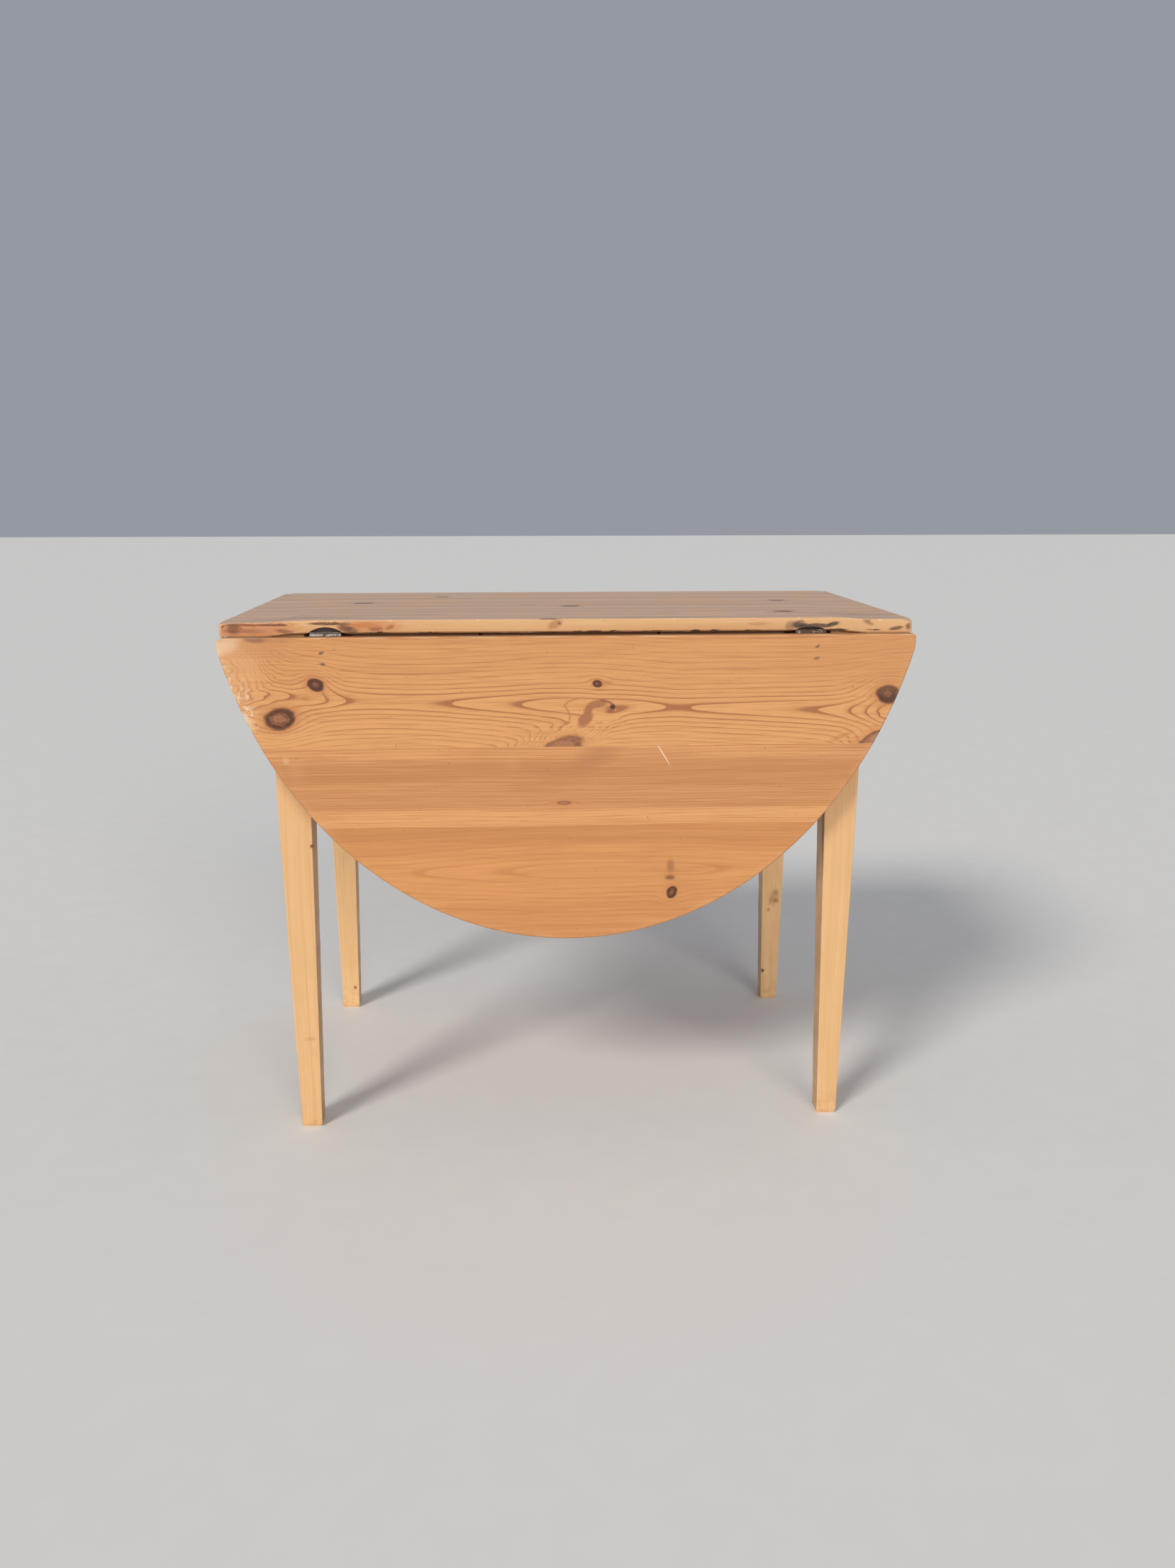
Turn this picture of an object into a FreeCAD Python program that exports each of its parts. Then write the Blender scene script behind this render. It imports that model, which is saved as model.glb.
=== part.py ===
import FreeCAD, Part
import os
import re
import Sketcher
from FreeCAD import Placement, Rotation, Vector

# A pembroke table in pine, leaves down. Origin on the floor under the middle of the table,
# X along the hinge lines, the front leaf towards -Y, Z up. All lengths are in millimetres.

SIZES = {
    # Fixed top, glued up from three boards
    "table_height": 720,
    "top_width": 908,
    "top_depth": 500,
    "board_thickness": 17,
    "top_corner_radius": 9,
    "top_arris": 1.2,
    "top_front_board": 172,
    "top_rear_board": 158,
    # Leaves: an oval cut square at the hinge line, three boards each
    "leaf_end_setback": 2,
    "leaf_depth": 411,
    "oval_end_spread": 23,
    "oval_centre_rise": 157,
    "leaf_upper_board": 145,
    "leaf_middle_board": 107,
    "leaf_arris": 1.2,
    "leaf_joint_gap": 0.6,
    # Legs, square at the rails and tapered on all four sides below them
    "leg_size": 50,
    "leg_foot": 29,
    "leg_square_length": 102,
    "foot_chamfer": 2,
    "foot_chamfer_height": 3,
    "end_overhang": 59,
    "side_overhang": 8,
    # Rails, tenoned into the legs
    "rail_height": 96,
    "rail_thickness": 18,
    "end_rail_setback": 6,
    "tenon_thickness": 8,
    "tenon_shoulder": 12,
    "tenon_length": 28,
    "mortise_end_room": 1,
    "middle_rail_width": 45,
    "middle_rail_height": 60,
    "middle_tenon_width": 14,
    "middle_tenon_height": 36,
    "middle_tenon_length": 9,
    # Flies: hinged wooden brackets outside the side rails
    "fly_setback": 10,
    "fly_thickness": 18,
    "fly_back_room": 0.5,
    "fly_top_room": 0.5,
    "fly_height": 90,
    "fly_reach": 175,
    "fly_tip_room": 60,
    "fly_cove_radius": 54,
    "knuckle_room": 0.4,
    "fly_pin_radius": 3,
    "fly_pin_room": 0.06,
    # Wooden buttons that hold the top to the rails
    "button_length": 34,
    "button_width": 30,
    "button_thickness": 16,
    "tongue_length": 9,
    "tongue_thickness": 7,
    "tongue_end_room": 1,
    "button_leg_distance": 145,
    "button_screw_radius": 1.9,
    "button_screw_head_radius": 3.8,
    "button_screw_head_height": 2.4,
    "button_screw_length": 27,
    # Screws from the side rails into the fly blocks
    "block_screw_radius": 2.1,
    "block_screw_head_radius": 4.2,
    "block_screw_head_height": 2.6,
    "block_screw_length": 30,
    "block_screw_distance": 45,
    # Back-flap hinges, let in flush
    "hinge_end_distance": 137.5,
    "hinge_width": 40,
    "hinge_drop": 2.7,
    "hinge_knuckle_radius": 4,
    "hinge_knuckle_room": 0.2,
    "hinge_swing_room": 0.5,
    "hinge_pin_radius": 1.5,
    "hinge_pin_room": 0.05,
    "flap_reach": 47,
    "flap_thickness": 2,
    "inner_screw_setback": 17.5,
    "outer_screw_setback": 32.5,
    "hinge_screw_radius": 1.7,
    "hinge_screw_head_radius": 3.6,
    "hinge_screw_head_height": 1.9,
    "hinge_screw_length": 15,
    "scoop_width": 48,
    "scoop_height": 11,
    "scoop_depth": 9,
    # Fits and cutting
    "screw_room": 0.05,
    "overrun": 3,
}

# Knuckle joint: five fingers, the first, third and fifth on the fixed block
FINGERS = 5
BLOCK_FINGERS = (0, 2, 4)
FLY_FINGERS = (1, 3)
# Hinge knuckle: three barrels, the outer two on the top's flap
BARRELS = 3
TOP_BARRELS = (0, 2)
LEAF_BARRELS = (1,)

SIDES = {"left": -1, "right": 1}
FACES = {"front": -1, "rear": 1}

# Places worked out from the sizes
UNDERSIDE = "(table_height - board_thickness)"
LEG_X = "(top_width / 2 - end_overhang - leg_size / 2)"
LEG_Y = "(top_depth / 2 - side_overhang - leg_size / 2)"
RAIL_Z = f"({UNDERSIDE} - rail_height / 2)"
FLY_Y = "(top_depth / 2 - side_overhang - fly_setback - fly_thickness / 2)"
RAIL_Y = f"({FLY_Y} - fly_thickness / 2 - fly_back_room - rail_thickness / 2)"
MIDDLE_RAIL_Z = f"({UNDERSIDE} - middle_rail_height / 2)"
END_RAIL_X = "(top_width / 2 - end_overhang - end_rail_setback - rail_thickness / 2)"
TENON_HEIGHT = "(rail_height - 2 * tenon_shoulder)"
FLY_TIP_X = f"({LEG_X} - leg_size / 2 - fly_tip_room)"
FLY_AXIS_X = f"({FLY_TIP_X} - fly_reach)"
FLY_TOP = f"({UNDERSIDE} - fly_top_room)"
FINGER = f"(fly_height / {FINGERS})"
AXIS_Y = "(top_depth / 2 + leaf_joint_gap / 2)"
AXIS_Z = f"({UNDERSIDE} - hinge_drop)"
LEAF_INNER_Y = f"({AXIS_Y} + hinge_drop)"
LEAF_TOP_Z = f"({AXIS_Z} - leaf_joint_gap / 2)"
LEAF_WIDTH = "(top_width - 2 * leaf_end_setback)"
HINGE_X = "(top_width / 2 - hinge_end_distance)"
BARREL = f"(hinge_width / {BARRELS})"

doc = FreeCAD.newDocument("PembrokeTable")
sheet = doc.addObject("Spreadsheet::Sheet", "Sizes")
for row, (alias, value) in enumerate(SIZES.items(), start=1):
    sheet.set(f"A{row}", alias)
    sheet.set(f"B{row}", str(value))
    sheet.setAlias(f"B{row}", alias)
doc.recompute()

nodes = []


def size(alias):
    return float(sheet.get(alias))


def formula(text):
    """Points each size named in the text at its cell."""
    def cell(word):
        return f"Sizes.{word.group()}" if word.group() in SIZES else word.group()
    return re.sub(r"[a-z_]+", cell, text)


def bind(item, values):
    for name, text in values.items():
        item.setExpression(name, formula(text))


def place(item, at):
    bind(item, {f"Placement.Base.{axis}": text for axis, text in zip("xyz", at)})


def block(name, centre, sides):
    item = doc.addObject("Part::Box", name)
    bind(item, dict(zip(("Length", "Width", "Height"), sides)))
    place(item, [f"{middle} - ({side}) / 2" for middle, side in zip(centre, sides)])
    return item


TURNS = {
    "+x": Rotation(Vector(0, 1, 0), 90),
    "+y": Rotation(Vector(1, 0, 0), -90),
    "-y": Rotation(Vector(1, 0, 0), 90),
    "+z": Rotation(),
}


def rod(name, start, direction, radius, length):
    item = doc.addObject("Part::Cylinder", name)
    item.Placement = Placement(Vector(), TURNS[direction])
    bind(item, {"Radius": radius, "Height": length})
    place(item, start)
    return item


def join(name, pieces):
    item = doc.addObject("Part::MultiFuse", name)
    item.Shapes = pieces
    item.Refine = True
    return item


def cut(name, base, tools):
    item = doc.addObject("Part::Cut", name)
    item.Base = base
    item.Tool = tools[0] if len(tools) == 1 else join(name + "_cutters", tools)
    item.Refine = True
    return item


def overlap(name, first, second):
    item = doc.addObject("Part::Common", name)
    item.Base = first
    item.Tool = second
    item.Refine = True
    return item


def group(name, pieces):
    item = doc.addObject("Part::Compound", name)
    item.Links = pieces
    return item


def keep(item):
    """Marks a finished piece for its own file."""
    nodes.append(item)
    return item


def screw(name, head, direction, kind, room="0"):
    """A countersunk screw from its head's face; with room added, the hole that it fits."""
    cone = doc.addObject("Part::Cone", name + "_head")
    cone.Placement = Placement(Vector(), TURNS[direction])
    bind(cone, {
        "Radius1": f"{kind}_head_radius + {room}",
        "Radius2": f"{kind}_radius + {room}",
        "Height": f"{kind}_head_height",
    })
    place(cone, head)
    shank = rod(name + "_shank", head, direction, f"{kind}_radius + {room}", f"{kind}_length + {room}")
    return join(name, [cone, shank])


def origin_plane(body, role):
    return next(plane for plane in body.Origin.OriginFeatures if plane.Role == role)


def top_blank():
    """The glued-up top: a rounded rectangle with its upper arris eased."""
    body = doc.addObject("PartDesign::Body", "top_blank")
    outline = body.newObject("Sketcher::SketchObject", "top_outline")
    outline.AttachmentSupport = [(origin_plane(body, "XY_Plane"), "")]
    outline.MapMode = "FlatFace"
    x, y = size("top_width") / 2, size("top_depth") / 2
    corners = [Vector(-x, -y), Vector(x, -y), Vector(x, y), Vector(-x, y)]
    for i, corner in enumerate(corners):
        outline.addGeometry(Part.LineSegment(corner, corners[(i + 1) % len(corners)]), False)
    for i in range(len(corners)):
        outline.addConstraint(Sketcher.Constraint("Coincident", i, 2, (i + 1) % len(corners), 1))
    for line, direction in enumerate(("Horizontal", "Vertical") * 2):
        outline.addConstraint(Sketcher.Constraint(direction, line))
    outline.addConstraint(Sketcher.Constraint("Symmetric", 0, 1, 2, 1, -1, 1))
    for line, direction, alias in ((0, "DistanceX", "top_width"), (1, "DistanceY", "top_depth")):
        index = outline.addConstraint(Sketcher.Constraint(direction, line, 1, line, 2, size(alias)))
        outline.renameConstraint(index, alias)
        outline.setExpression(f"Constraints.{alias}", formula(alias))
    pad = body.newObject("PartDesign::Pad", "top_pad")
    pad.Profile = outline
    bind(pad, {"Length": "board_thickness"})
    doc.recompute()
    rise = size("board_thickness") / 2
    upright = [i for i, edge in enumerate(pad.Shape.Edges, start=1) if edge.BoundBox.ZLength > rise]
    corner = body.newObject("PartDesign::Fillet", "top_corners")
    corner.Base = (pad, [f"Edge{i}" for i in upright])
    bind(corner, {"Radius": "top_corner_radius"})
    doc.recompute()
    upper = max(range(len(corner.Shape.Faces)), key=lambda i: corner.Shape.Faces[i].CenterOfMass.z)
    arris = body.newObject("PartDesign::Chamfer", "top_arris_chamfer")
    arris.Base = (corner, [f"Face{upper + 1}"])
    bind(arris, {"Size": "top_arris"})
    body.Tip = arris
    bind(body, {"Placement.Base.z": UNDERSIDE})
    doc.recompute()
    return body


def hinge_places():
    for face, fy in FACES.items():
        for side, sx in SIDES.items():
            yield f"{face}_{side}", face, sx, fy


def hinge_screws(room="0"):
    """Screws of every hinge flap, or their holes, by flap."""
    screws = {}
    mark = "hole" if room != "0" else "screw"
    for name, face, sx, fy in hinge_places():
        x = f"{sx} * {HINGE_X}"
        for i, reach in enumerate(("inner_screw_setback", "outer_screw_setback"), start=1):
            head = (x, f"{fy} * ({AXIS_Y} - {reach})", UNDERSIDE)
            made = screw(f"top_flap_{mark}_{name}_{i}", head, "+z", "hinge_screw", room)
            screws.setdefault(("top", name), []).append(made)
            head = (x, f"{fy} * {LEAF_INNER_Y}", f"{AXIS_Z} - {reach}")
            outward = "+y" if fy > 0 else "-y"
            made = screw(f"leaf_flap_{mark}_{name}_{i}", head, outward, "hinge_screw", room)
            screws.setdefault(("leaf", name), []).append(made)
    return screws


def barrels(name, sx, fy, indexes):
    """Rolled barrels of one flap about the hinge axis."""
    made = []
    for i in indexes:
        inner_start = int(i > 0)
        inner_end = int(i < BARRELS - 1)
        start = f"{sx} * {HINGE_X} - hinge_width / 2 + {i} * {BARREL} + {inner_start} * hinge_knuckle_room / 2"
        length = f"{BARREL} - {inner_start + inner_end} * hinge_knuckle_room / 2"
        at = (start, f"{fy} * {AXIS_Y}", AXIS_Z)
        made.append((rod(f"{name}_barrel_{i}", at, "+x", "hinge_knuckle_radius", length), start, length))
    return made


FLAP_START = "(hinge_knuckle_radius + hinge_swing_room)"
FLAP_LENGTH = f"(flap_reach - {FLAP_START})"


def hinge(name, sx, fy, holes):
    """One back-flap hinge: the top's flap, the leaf's flap and the pin between them."""
    x = f"{sx} * {HINGE_X}"
    bore = rod(f"hinge_bore_{name}", (f"{x} - hinge_width / 2 - overrun", f"{fy} * {AXIS_Y}", AXIS_Z), "+x",
               "hinge_pin_radius + hinge_pin_room", "hinge_width + 2 * overrun")
    out = f"({FLAP_START} + {FLAP_LENGTH} / 2)"
    plate_z = f"{UNDERSIDE} + flap_thickness / 2"
    pieces = [block(f"top_plate_{name}", (x, f"{fy} * ({AXIS_Y} - {out})", plate_z),
                    ("hinge_width", FLAP_LENGTH, "flap_thickness"))]
    for i, (barrel, start, length) in enumerate(barrels(f"top_flap_{name}", sx, fy, TOP_BARRELS)):
        neck = (f"{start} + ({length}) / 2", f"{fy} * ({AXIS_Y} - {FLAP_START} / 2)", plate_z)
        pieces += [barrel, block(f"top_neck_{name}_{i}", neck, (length, FLAP_START, "flap_thickness"))]
    blank = join(f"top_flap_blank_{name}", pieces)
    keep(cut(f"hinge_top_flap_{name}", blank, [bore] + holes["top", name]))
    plate_y = f"{fy} * ({LEAF_INNER_Y} + flap_thickness / 2)"
    pieces = [block(f"leaf_plate_{name}", (x, plate_y, f"{AXIS_Z} - {out}"),
                    ("hinge_width", "flap_thickness", FLAP_LENGTH))]
    for i, (barrel, start, length) in enumerate(barrels(f"leaf_flap_{name}", sx, fy, LEAF_BARRELS)):
        neck = (f"{start} + ({length}) / 2", plate_y, f"{AXIS_Z} - {FLAP_START} / 2")
        pieces += [barrel, block(f"leaf_neck_{name}_{i}", neck, (length, "flap_thickness", FLAP_START))]
    blank = join(f"leaf_flap_blank_{name}", pieces)
    keep(cut(f"hinge_leaf_flap_{name}", blank, [bore] + holes["leaf", name]))
    pin_start = (f"{x} - hinge_width / 2", f"{fy} * {AXIS_Y}", AXIS_Z)
    keep(rod(f"hinge_pin_{name}", pin_start, "+x", "hinge_pin_radius", "hinge_width"))


def top_gains(face, fy):
    """Recesses in one edge of the top: the flaps' beds and the half-moon scoops over the knuckles."""
    made = []
    scoop_radius = "((scoop_width * scoop_width / 4 + scoop_height * scoop_height) / (2 * scoop_height))"
    for side, sx in SIDES.items():
        x = f"{sx} * {HINGE_X}"
        bed_y = f"{fy} * ({AXIS_Y} - flap_reach / 2)"
        made.append(block(f"top_bed_{face}_{side}", (x, bed_y, UNDERSIDE),
                          ("hinge_width", "flap_reach", "2 * flap_thickness")))
        scoop_z = f"{UNDERSIDE} + scoop_height - {scoop_radius}"
        start = (x, f"{fy} * (top_depth / 2 - scoop_depth)", scoop_z)
        outward = "+y" if fy > 0 else "-y"
        made.append(rod(f"top_scoop_{face}_{side}", start, outward, scoop_radius, "scoop_depth + overrun"))
    return made


def leaf_gains(face, fy):
    """Recesses in a leaf's hinge edge: the flaps' beds and the grooves that clear the knuckles."""
    made = []
    for side, sx in SIDES.items():
        x = f"{sx} * {HINGE_X}"
        bed_z = f"{AXIS_Z} - (flap_reach - overrun) / 2"
        made.append(block(f"leaf_bed_{face}_{side}", (x, f"{fy} * {LEAF_INNER_Y}", bed_z),
                          ("hinge_width", "2 * flap_thickness", "flap_reach + overrun")))
        start = (f"{x} - hinge_width / 2 - hinge_swing_room", f"{fy} * {AXIS_Y}", AXIS_Z)
        made.append(rod(f"leaf_groove_{face}_{side}", start, "+x", "hinge_knuckle_radius + hinge_swing_room",
                        "hinge_width + 2 * hinge_swing_room"))
    return made


def build_top(holes):
    blank = top_blank()
    middle = "(top_depth - top_front_board - top_rear_board)"
    boards = {
        "front": ("- top_depth / 2 + top_front_board / 2", "top_front_board"),
        "middle": (f"- top_depth / 2 + top_front_board + {middle} / 2", middle),
        "rear": ("top_depth / 2 - top_rear_board / 2", "top_rear_board"),
    }
    for place_name, (centre, depth) in boards.items():
        strip = block(f"top_strip_{place_name}", ("0", centre, "table_height - board_thickness / 2"),
                      ("top_width", depth, "board_thickness"))
        board = overlap(f"top_board_{place_name}_plain", blank, strip)
        tools = list(holes["button", place_name])
        if place_name in FACES:
            fy = FACES[place_name]
            tools += top_gains(place_name, fy)
            tools += [hole for side in SIDES for hole in holes["top", f"{place_name}_{side}"]]
        keep(cut(f"top_board_{place_name}", board, tools))


def leaf_blank(face, fy):
    """An upright oval slab with eased rims, centred so that its lower end is the leaf's tip."""
    wide = size("top_width") / 2 - size("leaf_end_setback") + size("oval_end_spread")
    deep = size("leaf_depth") + size("oval_centre_rise")
    oval = Part.Edge(Part.Ellipse(Vector(), max(wide, deep), min(wide, deep)))
    turn = Rotation(Vector(1, 1, 1), -120) if deep >= wide else Rotation(Vector(1, 0, 0), 90)
    oval.Placement = Placement(Vector(), turn)
    slab = Part.Face(Part.Wire(oval)).extrude(Vector(0, size("board_thickness"), 0))
    rims = [edge for edge in slab.Edges if edge.BoundBox.YLength < size("board_thickness") / 2]
    item = doc.addObject("Part::Feature", f"{face}_leaf_blank")
    item.Shape = slab.makeChamfer(size("leaf_arris"), rims)
    inner = LEAF_INNER_Y if fy > 0 else f"- {LEAF_INNER_Y} - board_thickness"
    place(item, ("0", inner, f"{LEAF_TOP_Z} + oval_centre_rise"))
    return item


def build_leaf(face, fy, holes):
    blank = leaf_blank(face, fy)
    y = f"{fy} * ({LEAF_INNER_Y} + board_thickness / 2)"
    lower = "(leaf_depth - leaf_upper_board - leaf_middle_board)"
    boards = {
        "upper": ("leaf_upper_board / 2", "leaf_upper_board"),
        "middle": ("leaf_upper_board + leaf_middle_board / 2", "leaf_middle_board"),
        "lower": (f"leaf_depth - {lower} / 2", lower),
    }
    for place_name, (below, depth) in boards.items():
        strip = block(f"{face}_leaf_strip_{place_name}", ("0", y, f"{LEAF_TOP_Z} - ({below})"),
                      (LEAF_WIDTH, "board_thickness", depth))
        node = f"{face}_leaf_{place_name}_board"
        if place_name == "upper":
            board = overlap(f"{node}_plain", blank, strip)
            tools = leaf_gains(face, fy)
            tools += [hole for side in SIDES for hole in holes["leaf", f"{face}_{side}"]]
            keep(cut(node, board, tools))
        else:
            keep(overlap(node, blank, strip))


def wedge(name, at, lower, upper, height):
    """A square taper standing on its lower end."""
    item = doc.addObject("Part::Wedge", name)
    item.Placement = Placement(Vector(), Rotation(Vector(1, 0, 0), 90))
    bind(item, {
        "Ymin": "0", "Ymax": height,
        "Xmin": f"- {lower} / 2", "Xmax": f"{lower} / 2", "Zmin": f"- {lower} / 2", "Zmax": f"{lower} / 2",
        "X2min": f"- {upper} / 2", "X2max": f"{upper} / 2", "Z2min": f"- {upper} / 2", "Z2max": f"{upper} / 2",
    })
    place(item, at)
    return item


def build_leg(face, fy, side, sx):
    node = f"leg_{face}_{side}"
    x, y = f"{sx} * {LEG_X}", f"{fy} * {LEG_Y}"
    taper_height = f"({UNDERSIDE} - leg_square_length - foot_chamfer_height)"
    square = block(f"{node}_square", (x, y, f"{UNDERSIDE} - leg_square_length / 2"),
                   ("leg_size", "leg_size", "leg_square_length"))
    taper = wedge(f"{node}_taper", (x, y, "foot_chamfer_height"), "leg_foot", "leg_size", taper_height)
    foot = wedge(f"{node}_foot", (x, y, "0"), "(leg_foot - 2 * foot_chamfer)", "leg_foot",
                 "foot_chamfer_height")
    depth = "(tenon_length + mortise_end_room + overrun)"
    inset = f"(leg_size / 2 - {depth} / 2 + overrun)"
    side_mortise = block(f"{node}_side_mortise", (f"{sx} * ({LEG_X} - {inset})", f"{fy} * {RAIL_Y}", RAIL_Z),
                         (depth, "tenon_thickness", TENON_HEIGHT))
    end_mortise = block(f"{node}_end_mortise", (f"{sx} * {END_RAIL_X}", f"{fy} * ({LEG_Y} - {inset})", RAIL_Z),
                        ("tenon_thickness", depth, TENON_HEIGHT))
    keep(cut(node, join(f"{node}_blank", [square, taper, foot]), [side_mortise, end_mortise]))


def button_places():
    """Each button: name, the way it points, its place on the rail's inner face and the board above it."""
    rail_face = f"({RAIL_Y} - rail_thickness / 2)"
    from_middle = f"({LEG_X} - leg_size / 2 - button_leg_distance)"
    for face, fy in FACES.items():
        for side, sx in SIDES.items():
            yield f"{face}_{side}", "y", fy, (f"{sx} * {from_middle}", rail_face), face
    for side, sx in SIDES.items():
        yield side, "x", sx, (f"({END_RAIL_X} - rail_thickness / 2)", "0"), "middle"


def button_parts(name, axis, sign, face_at):
    """The block and the tongue of one button, and the place of its screw."""
    z = f"{UNDERSIDE} - button_thickness / 2"
    tongue_z = f"{UNDERSIDE} - button_thickness + tongue_thickness / 2"
    along = {
        "block": "- button_length / 2",
        "tongue": "tongue_length / 2 - overrun / 2",
        "mortise": "(tongue_length + tongue_end_room) / 2 - overrun / 2",
    }
    lengths = {
        "block": "button_length",
        "tongue": "tongue_length + overrun",
        "mortise": "tongue_length + tongue_end_room + overrun",
    }
    made = {}
    for part, shift in along.items():
        height = ("button_thickness", z) if part == "block" else ("tongue_thickness", tongue_z)
        if axis == "y":
            centre = (face_at[0], f"{sign} * ({face_at[1]} + {shift})", height[1])
            sides = ("button_width", lengths[part], height[0])
        else:
            centre = (f"{sign} * ({face_at[0]} + {shift})", face_at[1], height[1])
            sides = (lengths[part], "button_width", height[0])
        made[part] = block(f"button_{part}_{name}", centre, sides)
    middle = "- button_length / 2"
    if axis == "y":
        head = (face_at[0], f"{sign} * ({face_at[1]} + {middle})", f"{UNDERSIDE} - button_thickness")
    else:
        head = (f"{sign} * ({face_at[0]} + {middle})", face_at[1], f"{UNDERSIDE} - button_thickness")
    return made, head


def build_buttons():
    """Buttons and their screws; gives the mortises by rail and the screw holes by top board."""
    mortises, holes, screws = {}, {}, []
    for name, axis, sign, face_at, board in button_places():
        made, head = button_parts(name, axis, sign, face_at)
        hole = screw(f"button_hole_{name}", head, "+z", "button_screw", "screw_room")
        keep(cut(f"top_button_{name}", join(f"button_blank_{name}", [made["block"], made["tongue"]]), [hole]))
        screws.append(screw(f"button_screw_{name}", head, "+z", "button_screw"))
        rail = f"side_{board}" if axis == "y" else f"end_{name}"
        mortises.setdefault(rail, []).append(made["mortise"])
        holes.setdefault(("button", board), []).append(hole)
    keep(group("button_screws", screws))
    return mortises, holes


def block_screw_places(fy):
    head_y = f"{fy} * ({RAIL_Y} - rail_thickness / 2)"
    for side, sx in SIDES.items():
        yield side, (f"{sx} * ({FLY_AXIS_X} - block_screw_distance)", head_y, RAIL_Z)


def build_side_rail(face, fy, mortises):
    node = f"side_rail_{face}"
    length = f"(2 * {LEG_X} - leg_size)"
    y = f"{fy} * {RAIL_Y}"
    plain = block(f"{node}_plain", ("0", y, RAIL_Z), (length, "rail_thickness", "rail_height"))
    tenons = block(f"{node}_tenons", ("0", y, RAIL_Z),
                   (f"{length} + 2 * tenon_length", "tenon_thickness", TENON_HEIGHT))
    outward = "+y" if fy > 0 else "-y"
    holes, screws = [], []
    for side, head in block_screw_places(fy):
        holes.append(screw(f"block_hole_{face}_{side}", head, outward, "block_screw", "screw_room"))
        screws.append(screw(f"block_screw_{face}_{side}", head, outward, "block_screw"))
    socket_y = f"{fy} * ({RAIL_Y} - rail_thickness / 2 + (middle_tenon_length - overrun) / 2)"
    socket = block(f"{node}_socket", ("0", socket_y, MIDDLE_RAIL_Z),
                   ("middle_tenon_width", "middle_tenon_length + overrun", "middle_tenon_height"))
    keep(cut(node, join(f"{node}_blank", [plain, tenons]), holes + [socket] + mortises[f"side_{face}"]))
    return holes, screws


def build_middle_rail():
    """The cross rail between the side rails, stub-tenoned at both ends."""
    span = f"(2 * {RAIL_Y} - rail_thickness)"
    centre = ("0", "0", MIDDLE_RAIL_Z)
    plain = block("middle_rail_plain", centre, ("middle_rail_width", span, "middle_rail_height"))
    tenons = block("middle_rail_tenons", centre,
                   ("middle_tenon_width", f"{span} + 2 * middle_tenon_length", "middle_tenon_height"))
    keep(join("middle_rail", [plain, tenons]))


def build_end_rail(side, sx, mortises):
    node = f"end_rail_{side}"
    length = f"(2 * {LEG_Y} - leg_size)"
    centre = (f"{sx} * {END_RAIL_X}", "0", RAIL_Z)
    plain = block(f"{node}_plain", centre, ("rail_thickness", length, "rail_height"))
    tenons = block(f"{node}_tenons", centre, ("tenon_thickness", f"{length} + 2 * tenon_length", TENON_HEIGHT))
    keep(cut(node, join(f"{node}_blank", [plain, tenons]), mortises[f"end_{side}"]))


def finger_slot(name, sx, fy, index, toward, room):
    """Clears one finger's level of the knuckle, from its far side to the shoulder."""
    half = "(fly_thickness / 2 + overrun)"
    shoulder = "(fly_thickness / 2 + knuckle_room)"
    x = f"{sx} * ({FLY_AXIS_X} + {toward} * ({shoulder} - {half}) / 2)"
    z = f"{FLY_TOP} - ({index} + 1 / 2) * {FINGER}"
    sides = (f"{shoulder} + {half}", f"2 * {half}", f"{FINGER} + 2 * {room}")
    return block(name, (x, f"{fy} * {FLY_Y}", z), sides)


def pin_bore(name, sx, fy, room):
    start = (f"{sx} * {FLY_AXIS_X}", f"{fy} * {FLY_Y}", f"{FLY_TOP} - fly_height - overrun")
    return rod(name, start, "+z", f"fly_pin_radius + {room}", "fly_height + 2 * overrun")


def knuckle_round(name, sx, fy):
    start = (f"{sx} * {FLY_AXIS_X}", f"{fy} * {FLY_Y}", f"{FLY_TOP} - fly_height")
    return rod(name, start, "+z", "fly_thickness / 2", "fly_height")


def build_fly(face, fy, side, sx):
    """A swinging bracket: fingers about the pin, a straight top edge and a cove under the tip."""
    name = f"{face}_{side}"
    y = f"{fy} * {FLY_Y}"
    arm_x = f"{sx} * ({FLY_AXIS_X} + fly_reach / 2)"
    arm = block(f"fly_arm_{name}", (arm_x, y, f"{FLY_TOP} - fly_height / 2"),
                ("fly_reach", "fly_thickness", "fly_height"))
    blank = join(f"fly_blank_{name}", [arm, knuckle_round(f"fly_round_{name}", sx, fy)])
    cove_y = f"{y} - fly_thickness / 2 - overrun"
    cove_start = (f"{sx} * {FLY_TIP_X}", cove_y, f"{FLY_TOP} - fly_height")
    tools = [rod(f"fly_cove_{name}", cove_start, "+y", "fly_cove_radius", "fly_thickness + 2 * overrun")]
    tools += [finger_slot(f"fly_slot_{name}_{i}", sx, fy, i, 1, "knuckle_room") for i in BLOCK_FINGERS]
    tools.append(pin_bore(f"fly_bore_{name}", sx, fy, "fly_pin_room"))
    keep(cut(f"fly_{name}", blank, tools))
    pin_start = (f"{sx} * {FLY_AXIS_X}", y, f"{FLY_TOP} - fly_height")
    keep(rod(f"fly_pin_{name}", pin_start, "+z", "fly_pin_radius", "fly_height"))


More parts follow.
